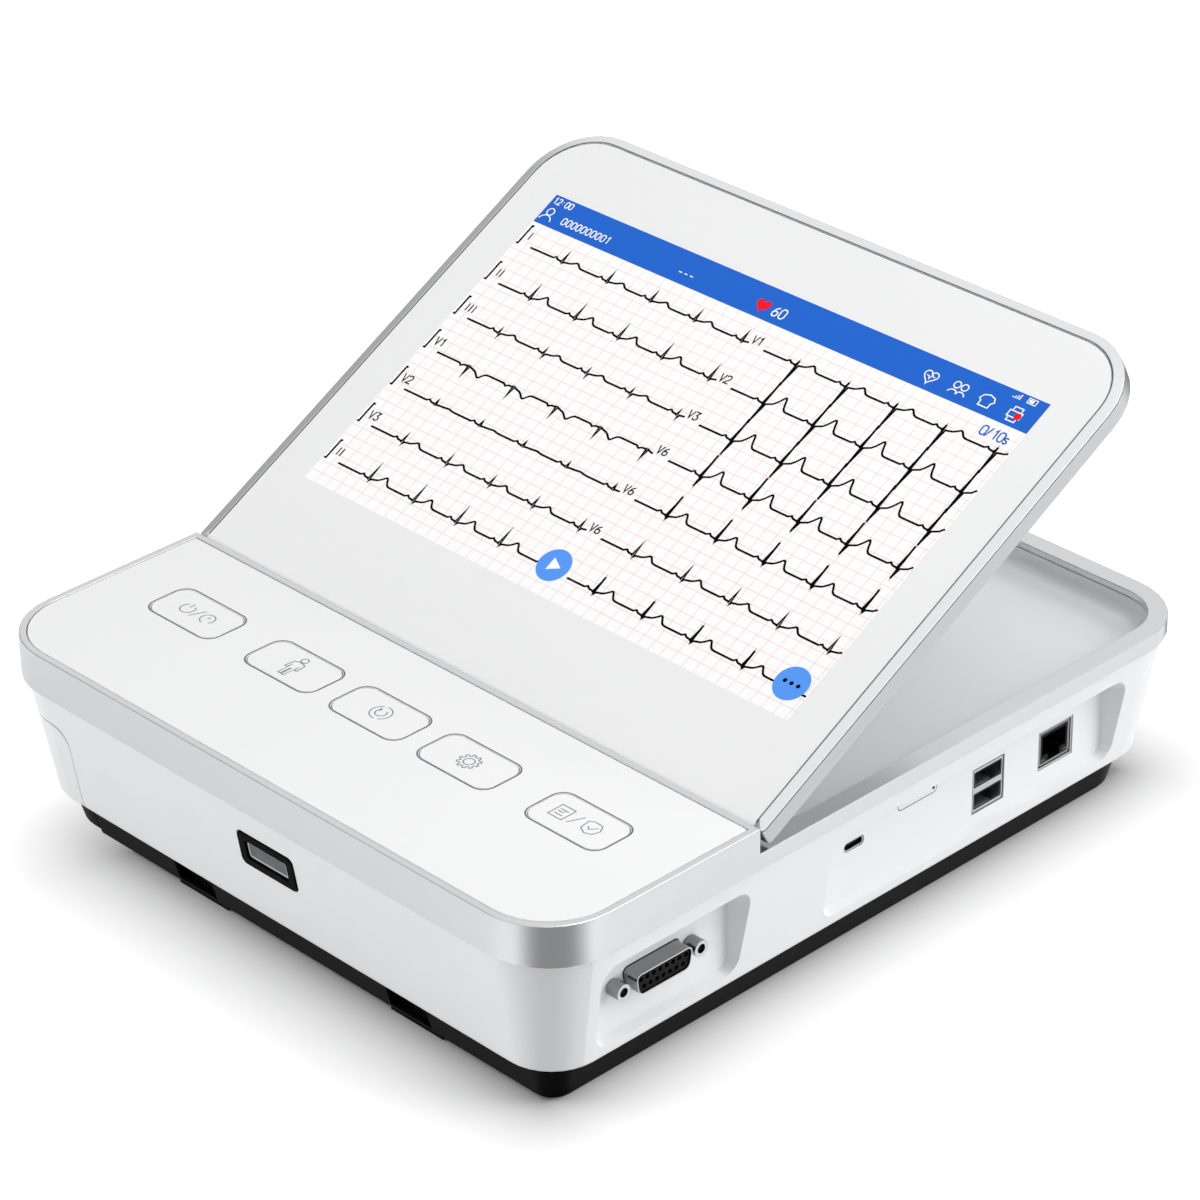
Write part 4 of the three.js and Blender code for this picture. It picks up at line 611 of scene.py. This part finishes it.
# A key's hidden flange and corner, and the grey line of painted shade in the gap round it: its place, width,
# top and foot
KEY = {"flange": 1.0, "corner": 4.6, "gap_shade_out": 0.33, "gap_shade_width": 0.56, "gap_shade_top": 0.02,
       "gap_shade_foot": -0.9}


def key_print(name, paths):
    """Thin printed lines on a key, given from its middle, and a grey line of painted shade in the gap round
    it.
    """
    middle, half_u, half_v = extent(f"key_{name}", 0, 1)
    bm = bmesh.new()
    for path, closed in paths:
        stroke(bm, deck_plane, [(middle[0] + u, middle[1] + v) for u, v in path], ICON["width"],
               0, ICON["rise"], closed)
    mesh_piece(f"icon_{name}", bm, PRINT["icon"], f"key_{name}")
    # Painted shade: a grey ring laid in the gap round the key darkens its groove
    bm = bmesh.new()
    grow = KEY["gap_shade_out"] - KEY["flange"]
    path = rounded_box(middle, half_u + grow, half_v + grow, KEY["corner"] + KEY["gap_shade_out"])
    stroke(bm, deck_plane, path, KEY["gap_shade_width"], KEY["gap_shade_foot"], KEY["gap_shade_top"], True)
    mesh_piece(f"seal_{name}", bm, PRINT["gap_shade"], "body")


def gear_outline(teeth, root, tip):
    """The outline of a gear, each tooth's corners in shares of its pitch."""
    points = []
    for i in range(teeth):
        for share, radius in ((-0.3, root), (-0.17, tip), (0.17, tip), (0.3, root)):
            a = 2 * math.pi * (i + share) / teeth
            points.append((radius * math.cos(a), radius * math.sin(a)))
    return points


def moved(path, across):
    return [(u + across, v) for u, v in path]


SLASH = [(-1.3, -2.9), (1.3, 2.9)]

key_print("power", [
    (moved(arc((0, 0), 2.7, 125, 415), -4.9), False), ([(-4.9, 0.9), (-4.9, 3.4)], False), (SLASH, False),
    (moved(arc((0, 0), 2.7, -40, 270), 5.2), False), ([(5.2, 0), (5.2, 1.4)], False)])
key_print("patient", [
    (circle((0, 4.6), 1.35, 20), True),
    ([(-1.1, 2.9), (1.1, 2.9), (2.5, 2.2), (2.9, -1.6), (1.9, -1.8), (1.5, 0.6), (1.4, -6.0), (0.3, -6.0),
      (0.1, -1.6), (-0.1, -1.6), (-0.3, -6.0), (-1.4, -6.0), (-1.5, 0.6), (-1.9, -1.8), (-2.9, -1.6),
      (-2.5, 2.2)], True)])
key_print("copy", [
    (arc((0, 0.3), 3.8, -60, 100), False), (arc((0, 0.3), 3.8, 120, 280), False),
    (arc((0, 0.3), 2.0, 130, 420), False), ([(-2.2, 2.2), (-1.2, 1.9), (-1.4, 0.8)], False)])
key_print("setup", [(gear_outline(10, 3.1, 4.0), True), (circle((0, 0), 1.9, 24), True)])
key_print("record", [
    (moved(rectangle(-2.9, -3.3, 2.9, 3.3), -7.4), True),
    (moved([(-1.7, 1.3), (1.7, 1.3)], -7.4), False), (moved([(-1.7, 0), (0.2, 0), (0.7, 0.8)], -7.4), False),
    (moved([(-1.7, -1.5), (1.7, -1.5)], -7.4), False), (moved(SLASH, -1.2), False),
    (moved([(-3.4, 2.2), (-1.7, 3.3), (1.9, 3.0), (3.4, 0.4), (2.6, -2.4), (0, -3.4), (-2.8, -1.9)], 5.6),
     True),
    (moved([(-1.5, 0.2), (-0.3, -1.1), (1.7, 1.2)], 5.6), False)])

# Details of the sockets, the card slot, the lid's glass, the scanner and the pan

DETAIL = {
    # Painted shade: grey lines laid in the seams round the card tray and the lid's glass
    "seam_shade": surface("slot_shadow", (0.42, 0.425, 0.435), 0.7, bump=0.0, specular=0.1),
    # Painted shade: near black for a hole and for the screws' slots, which are not cut
    "hole": surface("pin_hole", (0.03, 0.03, 0.035), 0.6, bump=0.0, specular=0.1),
    "gold": surface("contact_gold", (0.86, 0.68, 0.36), 0.25, metallic=1.0, bump=0.0),
    "light": surface("link_light", (0.05, 0.26, 0.08), 0.25, bump=0.0),
    # Painted highlight: a light grey rim round the scanner's window
    "rim": surface("scanner_rim_highlight", (0.74, 0.75, 0.76), 0.3, bump=0.0, specular=0.2),
    "frame": surface("network_frame", (0.5, 0.505, 0.52), 0.3, bump=0.0, specular=0.3),
}
CARD = {"gap": 0.14, "line": 0.22, "low": -0.5, "high": -0.04, "hole_inset": 1.5, "hole": 0.6,
        "hole_rise": 0.02}
LIGHT = {"apart": 5.6, "foot": 1.9, "half_u": 1.2, "half_v": 0.45, "corner": 0.2, "rise": 0.06}
CONTACT = {"count": 8, "pitch": 1.02, "top": 2.6, "length": 2.6, "width": 0.4, "low": -5.4, "high": -5.1}
RIM = {"width": 0.85, "corner": 0.5, "rise": 0.04}
USB = {"rise": 4.1, "half_u": 6.5, "half_v": 2.75, "edge": 0.5, "outline": 0.3, "corner": 0.2, "high": 0.03}
GLASS_SEAM_SHADE = {"grow": 0.15, "foot": 2.0, "corner": 21.1, "width": 0.45, "low": -0.5, "high": 0.02}
SCANNER = {"inset": 0.5, "corner": 0.9, "rim": 0.8, "rise": 0.04}
SCREW = {"places": [(-76.0, 104.0), (14.0, 122.0), (108.0, 84.0)], "radius": 2.6, "rise": 0.12, "slot": 1.5,
         "slot_width": 0.55, "slot_rise": 0.02}


def side_face(node):
    """A piece's face on the machine's right side: its plane, its middle and its half sizes."""
    return (Plane((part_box(node)[1].x, 0, 0), (0, 1, 0), (0, 0, 1)), *extent(node, 1, 2))


def card_slot():
    """The shadow line round the card tray's cap, and a dark disc of painted shade for the hole of its release
    pin.
    """
    plane, middle, half_u, half_v = side_face("card_tray")
    bm = bmesh.new()
    path = rounded_box(middle, half_u + CARD["gap"], half_v + CARD["gap"], half_v)
    stroke(bm, plane, path, CARD["line"], CARD["low"], CARD["high"], True)
    mesh_piece("card_slot_line", bm, DETAIL["seam_shade"], "body")
    bm = bmesh.new()
    hole = circle((middle[0] + half_u - CARD["hole_inset"], middle[1]), CARD["hole"], 16)
    slab(bm, plane, hole, 0, CARD["hole_rise"])
    mesh_piece("card_pin_hole", bm, DETAIL["hole"], "card_tray")


def network_details():
    """Two small lights and eight contacts in the network socket, and the metal rim round its face."""
    plane, middle, half_u, half_v = side_face("network_socket_core")
    bm = bmesh.new()
    for side in (-1, 1):
        centre = (middle[0] + side * LIGHT["apart"], middle[1] - half_v + LIGHT["foot"])
        light = rounded_box(centre, LIGHT["half_u"], LIGHT["half_v"], LIGHT["corner"], 3)
        slab(bm, plane, light, 0, LIGHT["rise"])
    mesh_piece("network_lights", bm, DETAIL["light"], "body")
    bm = bmesh.new()
    top = middle[1] + half_v - CONTACT["top"]
    for index in range(CONTACT["count"]):
        u = middle[0] + (index - (CONTACT["count"] - 1) / 2) * CONTACT["pitch"]
        stroke(bm, plane, [(u, top - CONTACT["length"]), (u, top)], CONTACT["width"], CONTACT["low"],
               CONTACT["high"])
    mesh_piece("network_contacts", bm, DETAIL["gold"], "body")
    bm = bmesh.new()
    inset = RIM["width"] / 2
    stroke(bm, plane, rounded_box(middle, half_u - inset, half_v - inset, RIM["corner"], 3), RIM["width"],
           0, RIM["rise"], True)
    mesh_piece("network_rim", bm, DETAIL["frame"], "body")


def usb_shade_lines():
    """Painted shade: a black line round the inner edge of each of the two USB A openings, and a shadow line
    round their shell.
    """
    plane, middle, half_u, half_v = side_face("usb_a_shell")
    inset = USB["outline"] / 2
    bm = bmesh.new()
    for side in (-1, 1):
        opening = (middle[0], middle[1] + side * USB["rise"])
        path = rounded_box(opening, USB["half_u"], USB["half_v"], USB["corner"], 2)
        stroke(bm, plane, path, USB["edge"], 0, USB["high"], True)
    path = rounded_box(middle, half_u - inset, half_v - inset, USB["corner"], 2)
    stroke(bm, plane, path, USB["outline"], 0, USB["high"], True)
    mesh_piece("usb_a_shade_lines", bm, SHADED["inside"], "body")


def glass_seam_shade():
    """A dark line of painted shade in the seam between the lid's glass and its bezel, up both sides and
    across the top.
    """
    low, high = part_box("screen_glass")
    half_u = (high.x - low.x) / 2 / MM + GLASS_SEAM_SHADE["grow"]
    reach = lid_up.dot(Vector((0, high.y - HINGE.y, high.z - HINGE.z))) / MM
    foot = GLASS_SEAM_SHADE["foot"] - DISPLAY["foot"]
    top = reach - LID_FOOT - DISPLAY["foot"] + GLASS_SEAM_SHADE["grow"]
    middle, corner = DISPLAY["width"] / 2, GLASS_SEAM_SHADE["corner"]
    path = [(middle - half_u, foot)]
    path += arc((middle - half_u + corner, top - corner), corner, 180, 90, 14)
    path += arc((middle + half_u - corner, top - corner), corner, 90, 0, 14)
    path += [(middle + half_u, foot)]
    bm = bmesh.new()
    stroke(bm, display_plane, path, GLASS_SEAM_SHADE["width"], GLASS_SEAM_SHADE["low"], GLASS_SEAM_SHADE["high"])
    mesh_piece("glass_seam_shade", bm, DETAIL["seam_shade"], "screen")


def scanner_rim_highlight():
    """A lighter rim round the code scanner's sloping window, a painted highlight on its edge."""
    window = frame["nodes"]["scanner_window"].data
    face = min(window.polygons, key=lambda polygon: polygon.normal.y)
    out = Vector((0, face.normal.y, face.normal.z)).normalized()
    low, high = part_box("scanner_window")
    level = (low.z + high.z) / 2
    depth = face.center.y - (level - face.center.z) * out.z / out.y
    plane = Plane(((low.x + high.x) / 2, depth, level), (1, 0, 0), (0, out.z, -out.y))
    half_u = (high.x - low.x) / 2 / MM - SCANNER["inset"]
    half_v = (high.z - low.z) / 2 / MM - SCANNER["inset"]
    bm = bmesh.new()
    stroke(bm, plane, rounded_box((0, 0), half_u, half_v, SCANNER["corner"], 4), SCANNER["rim"],
           0, SCANNER["rise"], True)
    mesh_piece("scanner_rim_highlight", bm, DETAIL["rim"], "body")


def base_screws():
    """The crossed screws that hold the black pan and the battery door, seen from below, with dark strokes of
    painted shade for their slots.
    """
    under = Plane((0, 0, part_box("base_pan")[0].z), (-1, 0, 0), (0, 1, 0))
    heads, slots = bmesh.new(), bmesh.new()
    top = SCREW["rise"] + SCREW["slot_rise"]
    for x, y in [(x, side * y) for x, y in SCREW["places"] for side in (-1, 1)]:
        slab(heads, under, circle((-x, y), SCREW["radius"], 24), 0, SCREW["rise"])
        for u, v in ((SCREW["slot"], 0), (0, SCREW["slot"])):
            slot = [(-x - u, y - v), (-x + u, y + v)]
            stroke(slots, under, slot, SCREW["slot_width"], SCREW["rise"], top)
    mesh_piece("base_screws", heads, FINISH["steel_bare"], "body")
    mesh_piece("base_screw_slots", slots, DETAIL["hole"], "body")


card_slot()
network_details()
usb_shade_lines()
glass_seam_shade()
scanner_rim_highlight()
base_screws()

# Refined copies of the moulded and machined pieces, with eased edges

SHARP_ANGLE = math.radians(28)
FLAT_ANGLE = math.radians(0.4)
MERGE = 0.002
# The silver frame's outer top rim: its corners' radius, how near an edge lies to it, the slopes of the
# faces beside it and the width of its rounding
LIP = {"corner": 26.0, "near": 0.3, "under": -0.5, "top": 0.9, "width": 0.4}
LIP_HALVES = extent("upper_frame", 0, 1)[1:]
# Faces further than this behind a socket's face are its inside, darkened with painted shade
SHADED_INSIDE_DEPTH = 0.8
# Faces nearer than this to a USB socket's face are those of its tongues, lightened with painted light
LIT_TONGUE_DEPTH = 8.0
# Faces that look out less than this are a screw's or a shell's sides, darkened with painted shade
SHADED_SIDE_SLOPE = 0.7
# The box round the mains inlet's pins, from the middle and the ends of the inlet
PINS = {"half_x": 8.5, "half_z": 6.2, "from_back": 4.6, "from_front": 5.0}

slot_of = {s["node"]: s["material_slot"] for s in frame["record"]["subparts"]}
# The pieces that get a refined copy, with the width of their rounded edges
EASED = {
    "base_pan": 0.35, "lower_housing": 0.3, "upper_frame": 0.25, "tray_basin": 0.3, "deck_panel": 0.12,
    "drawer_front": 0.25, "drawer_foot_strip": 0.3, "screen_back_shell": 0.3, "screen_bezel": 0.1,
    "screen_glass": 0.08, "scanner_bezel": 0.2, "scanner_window": 0.12, "patient_socket_shell": 0.2,
    "patient_socket_core": 0.08, "jack_screw_front": 0.15, "jack_screw_rear": 0.15, "usb_a_shell": 0.08,
    "usb_a_core": 0.08, "usb_c_socket": 0.06, "network_socket_shell": 0.08, "card_tray": 0.12,
    "power_inlet": 0.2, "earth_post": 0.15, "battery_door": 0.25,
}
EASED.update({f"key_{k}": 0.12 for k in ("power", "patient", "copy", "setup", "record")})
EASED.update({f"rubber_foot_{i}": 0.3 for i in (1, 2, 3, 4)})
# The pieces with a second finish: painted shade, painted light, or the mains inlet's pins
INNER = {"patient_socket_shell": "shaded_side", "jack_screw_front": "shaded_side", "jack_screw_rear": "shaded_side",
         "usb_c_socket": "inside", "usb_a_core": "tongue", "power_inlet": "pins"}


def on_outer_lip(edge):
    """Whether an edge of the silver frame runs along its outer top rim."""
    for vert in edge.verts:
        x, y = [abs(place) / MM - (half - LIP["corner"]) for place, half in zip(vert.co, LIP_HALVES)]
        outside = math.hypot(max(x, 0), max(y, 0)) + min(max(x, y), 0) - LIP["corner"]
        if outside < -LIP["near"]:
            return False
    slopes = [face.normal.z for face in edge.link_faces]
    return min(slopes) > LIP["under"] and max(slopes) > LIP["top"]


def weigh_edges(bm, width, widest, lip):
    """Marks each sharp edge with its share of the widest rounding."""
    layer = bm.edges.layers.float.new("bevel_weight_edge")
    for edge in bm.edges:
        if len(edge.link_faces) == 2 and edge.calc_face_angle() > SHARP_ANGLE:
            edge[layer] = 1.0 if lip and on_outer_lip(edge) else width / widest


def inner_test(node, inner):
    """How to tell the faces of a node that have a finish of their own: painted shade, painted light or the
    pins' metal.
    """
    low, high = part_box(node)
    if inner == "inside":
        return lambda face: face.center.x < high.x - SHADED_INSIDE_DEPTH * MM
    if inner == "shaded_side":
        return lambda face: face.normal.x < SHADED_SIDE_SLOPE
    if inner == "tongue":
        return lambda face: face.center.x > high.x - LIT_TONGUE_DEPTH * MM
    middle = (low + high) / 2
    back, front = low.y + PINS["from_back"] * MM, high.y - PINS["from_front"] * MM
    half_x, half_z = PINS["half_x"] * MM, PINS["half_z"] * MM
    return lambda face: (abs(face.center.x - middle.x) < half_x and abs(face.center.z - middle.z) < half_z
                         and back < face.center.y < front)


def two_finishes(mesh, node, inner):
    """Gives some faces of a piece a finish of their own, mostly painted shade or painted light."""
    mesh.materials.append(SHADED[inner])
    test = inner_test(node, inner)
    for polygon in mesh.polygons:
        if test(polygon):
            polygon.material_index = 1


def refined(node, width, segments=2, lip=False, inner=None):
    """A copy of a node with its sharp edges rounded by width, shaded smooth across its curves."""
    source = frame["nodes"][node]
    widest = max(width, LIP["width"]) if lip else width
    bm = bmesh.new()
    bm.from_mesh(source.data)
    bmesh.ops.remove_doubles(bm, verts=bm.verts, dist=MERGE * MM)
    bmesh.ops.dissolve_limit(bm, angle_limit=FLAT_ANGLE, verts=bm.verts, edges=bm.edges)
    weigh_edges(bm, width, widest, lip)
    name = f"{node}_finished"
    mesh = bpy.data.meshes.new(name)
    bm.to_mesh(mesh)
    bm.free()
    for polygon in mesh.polygons:
        polygon.use_smooth = True
    mesh.set_sharp_from_angle(angle=SHARP_ANGLE)
    piece = bpy.data.objects.new(name, mesh)
    bpy.context.scene.collection.objects.link(piece)
    slot_name = slot_of[node]
    mesh.materials.append(FINISH[slot_name])
    if inner:
        two_finishes(mesh, node, inner)
    bevel = piece.modifiers.new("eased_edges", "BEVEL")
    bevel.width = widest * MM
    bevel.segments = segments
    bevel.limit_method = "WEIGHT"
    bevel.use_clamp_overlap = not lip
    even = piece.modifiers.new("even_normals", "WEIGHTED_NORMAL")
    even.keep_sharp = True
    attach(piece, source["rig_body"])
    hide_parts(node)


for node, obj in frame["nodes"].items():
    if node == "upper_frame":
        refined(node, EASED[node], segments=3, lip=True)
    elif node in EASED:
        refined(node, EASED[node], inner=INNER.get(node))
    else:
        obj.data.materials.clear()
        obj.data.materials.append(FINISH[slot_of[node]])

# Floor, world and lamps, in metres and degrees

# The floor's half size and height, and how white it is for the camera and for the light that it bounces
FLOOR = {"size": 6.0, "level": -0.00005, "white": 0.5, "bounce": 0.8, "roughness": 0.9}
# The machine's footprint on the floor, and how the floor brightens round it for the camera, leaving a painted
# shadow next to it
PAINTED_SHADOW = {"centre": (0.015, 0, 0), "half": (0.099, 0.134, 1.0), "reach": 0.055, "power": 0.6, "far": 0.78}
# How the floor brightens in reflections, from the left front to the right back
SHEEN = {"bearing": 134.0, "low": 0.08, "high": 0.1}
# Darker parts of the floor, seen only in reflections: a centre, a bearing from it, the two angles between
# which the part fades, and how bright it is
WEDGES = [
    {"centre": (0.107, -0.124), "bearing": 51.0, "inner": 4.0, "outer": 52.0, "level": 0.3},
    {"centre": (0.107, 0.124), "bearing": 200.0, "inner": 4.0, "outer": 30.0, "level": 0.3},
]
# Dark cards in the studio's sky, seen only in reflections: a direction, the same two angles, and how bright
SKY_CARDS = [((-0.88, -0.05, 0.47), 8.0, 26.0, 0.45), ((-0.62, -0.5, 0.6), 5.0, 16.0, 0.3)]
HORIZON = {"from": 1.0, "to": 16.0, "level": 0.4}
SKY = 1.12
AMBIENT = 0.27
# Each lamp's name, bearing, elevation, distance, size and power, and whether metal mirrors it
LAMPS = [("soft_left", -45, 22, 2.3, 1.5, 38, False), ("soft_right", 131, 22, 2.3, 1.5, 33, False),
         ("soft_above", 120, 62, 0.95, 0.7, 3.2, True)]


def fade(nodes, links, value, start, end, low, high, shape="SMOOTHSTEP"):
    """A step of value from start to end, as a number from low to high."""
    step = nodes.new("ShaderNodeMapRange")
    step.interpolation_type = shape
    for socket, number in (("From Min", start), ("From Max", end), ("To Min", low), ("To Max", high)):
        step.inputs[socket].default_value = number
    links.new(value, step.inputs["Value"])
    return step.outputs["Result"]


def vector_math(nodes, links, operation, first, second=None):
    node = nodes.new("ShaderNodeVectorMath")
    node.operation = operation
    links.new(first, node.inputs[0])
    if second is not None:
        node.inputs[1].default_value = second
    return node


def plain_math(nodes, links, operation, first, second):
    """A sum, product or power of an output and another output or a number."""
    node = nodes.new("ShaderNodeMath")
    node.operation = operation
    links.new(first, node.inputs[0])
    if isinstance(second, float):
        node.inputs[1].default_value = second
    else:
        links.new(second, node.inputs[1])
    return node.outputs["Value"]


def cosine(angle):
    return math.cos(math.radians(angle))


def level_pointing(bearing):
    """The direction along the floor at this bearing in degrees, with a height of zero."""
    turn = math.radians(bearing)
    return (math.sin(turn), -math.cos(turn), 0)


def floor_wedges(nodes, links, place):
    """How bright the floor is in reflections, darker in each wedge's direction from its centre."""
    light = None
    for wedge in WEDGES:
        apart = vector_math(nodes, links, "SUBTRACT", place, (*wedge["centre"], 0))
        heading = vector_math(nodes, links, "NORMALIZE", apart.outputs["Vector"])
        toward = vector_math(nodes, links, "DOT_PRODUCT", heading.outputs["Vector"],
                             level_pointing(wedge["bearing"]))
        shade = fade(nodes, links, toward.outputs["Value"], cosine(wedge["outer"]), cosine(wedge["inner"]),
                     1.0, wedge["level"])
        light = plain_math(nodes, links, "MULTIPLY", light, shade) if light else shade
    return light


def floor_colour(nodes, links, path, wedges):
    """The floor's colour for the camera, for its own bounced light and for reflections."""
    tone = nodes.new("ShaderNodeMix")
    tone.inputs["A"].default_value = FLOOR["bounce"]
    tone.inputs["B"].default_value = FLOOR["white"]
    links.new(path.outputs["Is Camera Ray"], tone.inputs["Factor"])
    shine = nodes.new("ShaderNodeMix")
    links.new(path.outputs["Is Glossy Ray"], shine.inputs["Factor"])
    links.new(tone.outputs["Result"], shine.inputs["A"])
    links.new(wedges, shine.inputs["B"])
    return shine.outputs["Result"]


def floor_sheen(nodes, links, path, place, wedges):
    """The light that the floor adds in reflections."""
    heading = vector_math(nodes, links, "NORMALIZE", place)
    across = vector_math(nodes, links, "DOT_PRODUCT", heading.outputs["Vector"],
                         level_pointing(SHEEN["bearing"]))
    sheen = fade(nodes, links, across.outputs["Value"], -1.0, 1.0, SHEEN["low"], SHEEN["high"])
    shaded = plain_math(nodes, links, "MULTIPLY", sheen, wedges)
    return plain_math(nodes, links, "MULTIPLY", shaded, path.outputs["Is Glossy Ray"])


def floor_lift_past_painted_shadow(nodes, links, path, place):
    """The light that whitens the floor for the camera away from the machine's footprint, leaving a painted
    shadow next to it.
    """
    beside = vector_math(nodes, links, "SUBTRACT", place, PAINTED_SHADOW["centre"])
    folded = vector_math(nodes, links, "ABSOLUTE", beside.outputs["Vector"])
    outside = vector_math(nodes, links, "SUBTRACT", folded.outputs["Vector"], PAINTED_SHADOW["half"])
    beyond = vector_math(nodes, links, "MAXIMUM", outside.outputs["Vector"], (0, 0, 0))
    away = vector_math(nodes, links, "LENGTH", beyond.outputs["Vector"])
    share = fade(nodes, links, away.outputs["Value"], 0.0, PAINTED_SHADOW["reach"], 0.0, 1.0, "LINEAR")
    rise = plain_math(nodes, links, "POWER", share, PAINTED_SHADOW["power"])
    lift = plain_math(nodes, links, "MULTIPLY", rise, PAINTED_SHADOW["far"])
    return plain_math(nodes, links, "MULTIPLY", lift, path.outputs["Is Camera Ray"])


def make_floor():
    size = FLOOR["size"]
    bm = bmesh.new()
    bm.faces.new([bm.verts.new((x, y, FLOOR["level"])) for x, y in rectangle(-size, -size, size, size)])
    mesh = bpy.data.meshes.new("floor")
    bm.to_mesh(mesh)
    bm.free()
    floor = bpy.data.objects.new("floor", mesh)
    bpy.context.scene.collection.objects.link(floor)
    material, nodes, links, shader = tree_of("floor_pale")
    shader.inputs["Roughness"].default_value = FLOOR["roughness"]
    shader.inputs["Specular IOR Level"].default_value = 0.0
    path = nodes.new("ShaderNodeLightPath")
    place = nodes.new("ShaderNodeTexCoord").outputs["Object"]
    wedges = floor_wedges(nodes, links, place)
    links.new(floor_colour(nodes, links, path, wedges), shader.inputs["Base Color"])
    sheen = floor_sheen(nodes, links, path, place, wedges)
    # Painted shadow: the camera's glow is held back round the footprint
    lift = floor_lift_past_painted_shadow(nodes, links, path, place)
    shader.inputs["Emission Color"].default_value = (1, 1, 1, 1)
    links.new(plain_math(nodes, links, "ADD", lift, sheen), shader.inputs["Emission Strength"])
    mesh.materials.append(material)


def make_world():
    """White for the camera, a soft studio for reflections and an even light for all else."""
    world = bpy.data.worlds.new("studio")
    bpy.context.scene.world = world
    world.use_nodes = True
    nodes, links = world.node_tree.nodes, world.node_tree.links
    light = nodes["Background"]
    light.inputs["Color"].default_value = (1, 1, 1, 1)
    light.inputs["Strength"].default_value = AMBIENT
    white = nodes.new("ShaderNodeBackground")
    white.inputs["Strength"].default_value = 1.0
    sky = nodes.new("ShaderNodeBackground")
    where = nodes.new("ShaderNodeTexCoord")
    height = nodes.new("ShaderNodeSeparateXYZ")
    links.new(where.outputs["Generated"], height.inputs["Vector"])
    level = fade(nodes, links, height.outputs["Z"], math.sin(math.radians(HORIZON["from"])),
                 math.sin(math.radians(HORIZON["to"])), HORIZON["level"] * SKY, SKY)
    for direction, inner, outer, dark in SKY_CARDS:
        toward = vector_math(nodes, links, "DOT_PRODUCT", where.outputs["Generated"],
                             Vector(direction).normalized())
        card = fade(nodes, links, toward.outputs["Value"], cosine(outer), cosine(inner), 1.0, dark)
        level = plain_math(nodes, links, "MULTIPLY", level, card)
    links.new(level, sky.inputs["Strength"])
    path = nodes.new("ShaderNodeLightPath")
    for ray, shader in (("Is Glossy Ray", sky), ("Is Transmission Ray", white), ("Is Camera Ray", white)):
        mix = nodes.new("ShaderNodeMixShader")
        links.new(path.outputs[ray], mix.inputs["Fac"])
        links.new(light.outputs[0], mix.inputs[1])
        links.new(shader.outputs[0], mix.inputs[2])
        light = mix
    links.new(light.outputs["Shader"], nodes["World Output"].inputs["Surface"])


def make_lamp(name, bearing, elevation, distance, size, power, mirrored):
    """A square soft lamp that faces the machine."""
    place = pointing(math.radians(bearing), math.radians(elevation))
    data = bpy.data.lights.new(name, "AREA")
    data.shape = "SQUARE"
    data.size = size
    data.energy = power
    lamp = bpy.data.objects.new(name, data)
    bpy.context.scene.collection.objects.link(lamp)
    lamp.location = place * distance
    lamp.rotation_mode = "QUATERNION"
    lamp.rotation_quaternion = place.to_track_quat("Z", "Y")
    lamp.visible_glossy = mirrored


make_floor()
make_world()
for lamp in LAMPS:
    make_lamp(*lamp)
bpy.context.scene.view_settings.view_transform = "Standard"
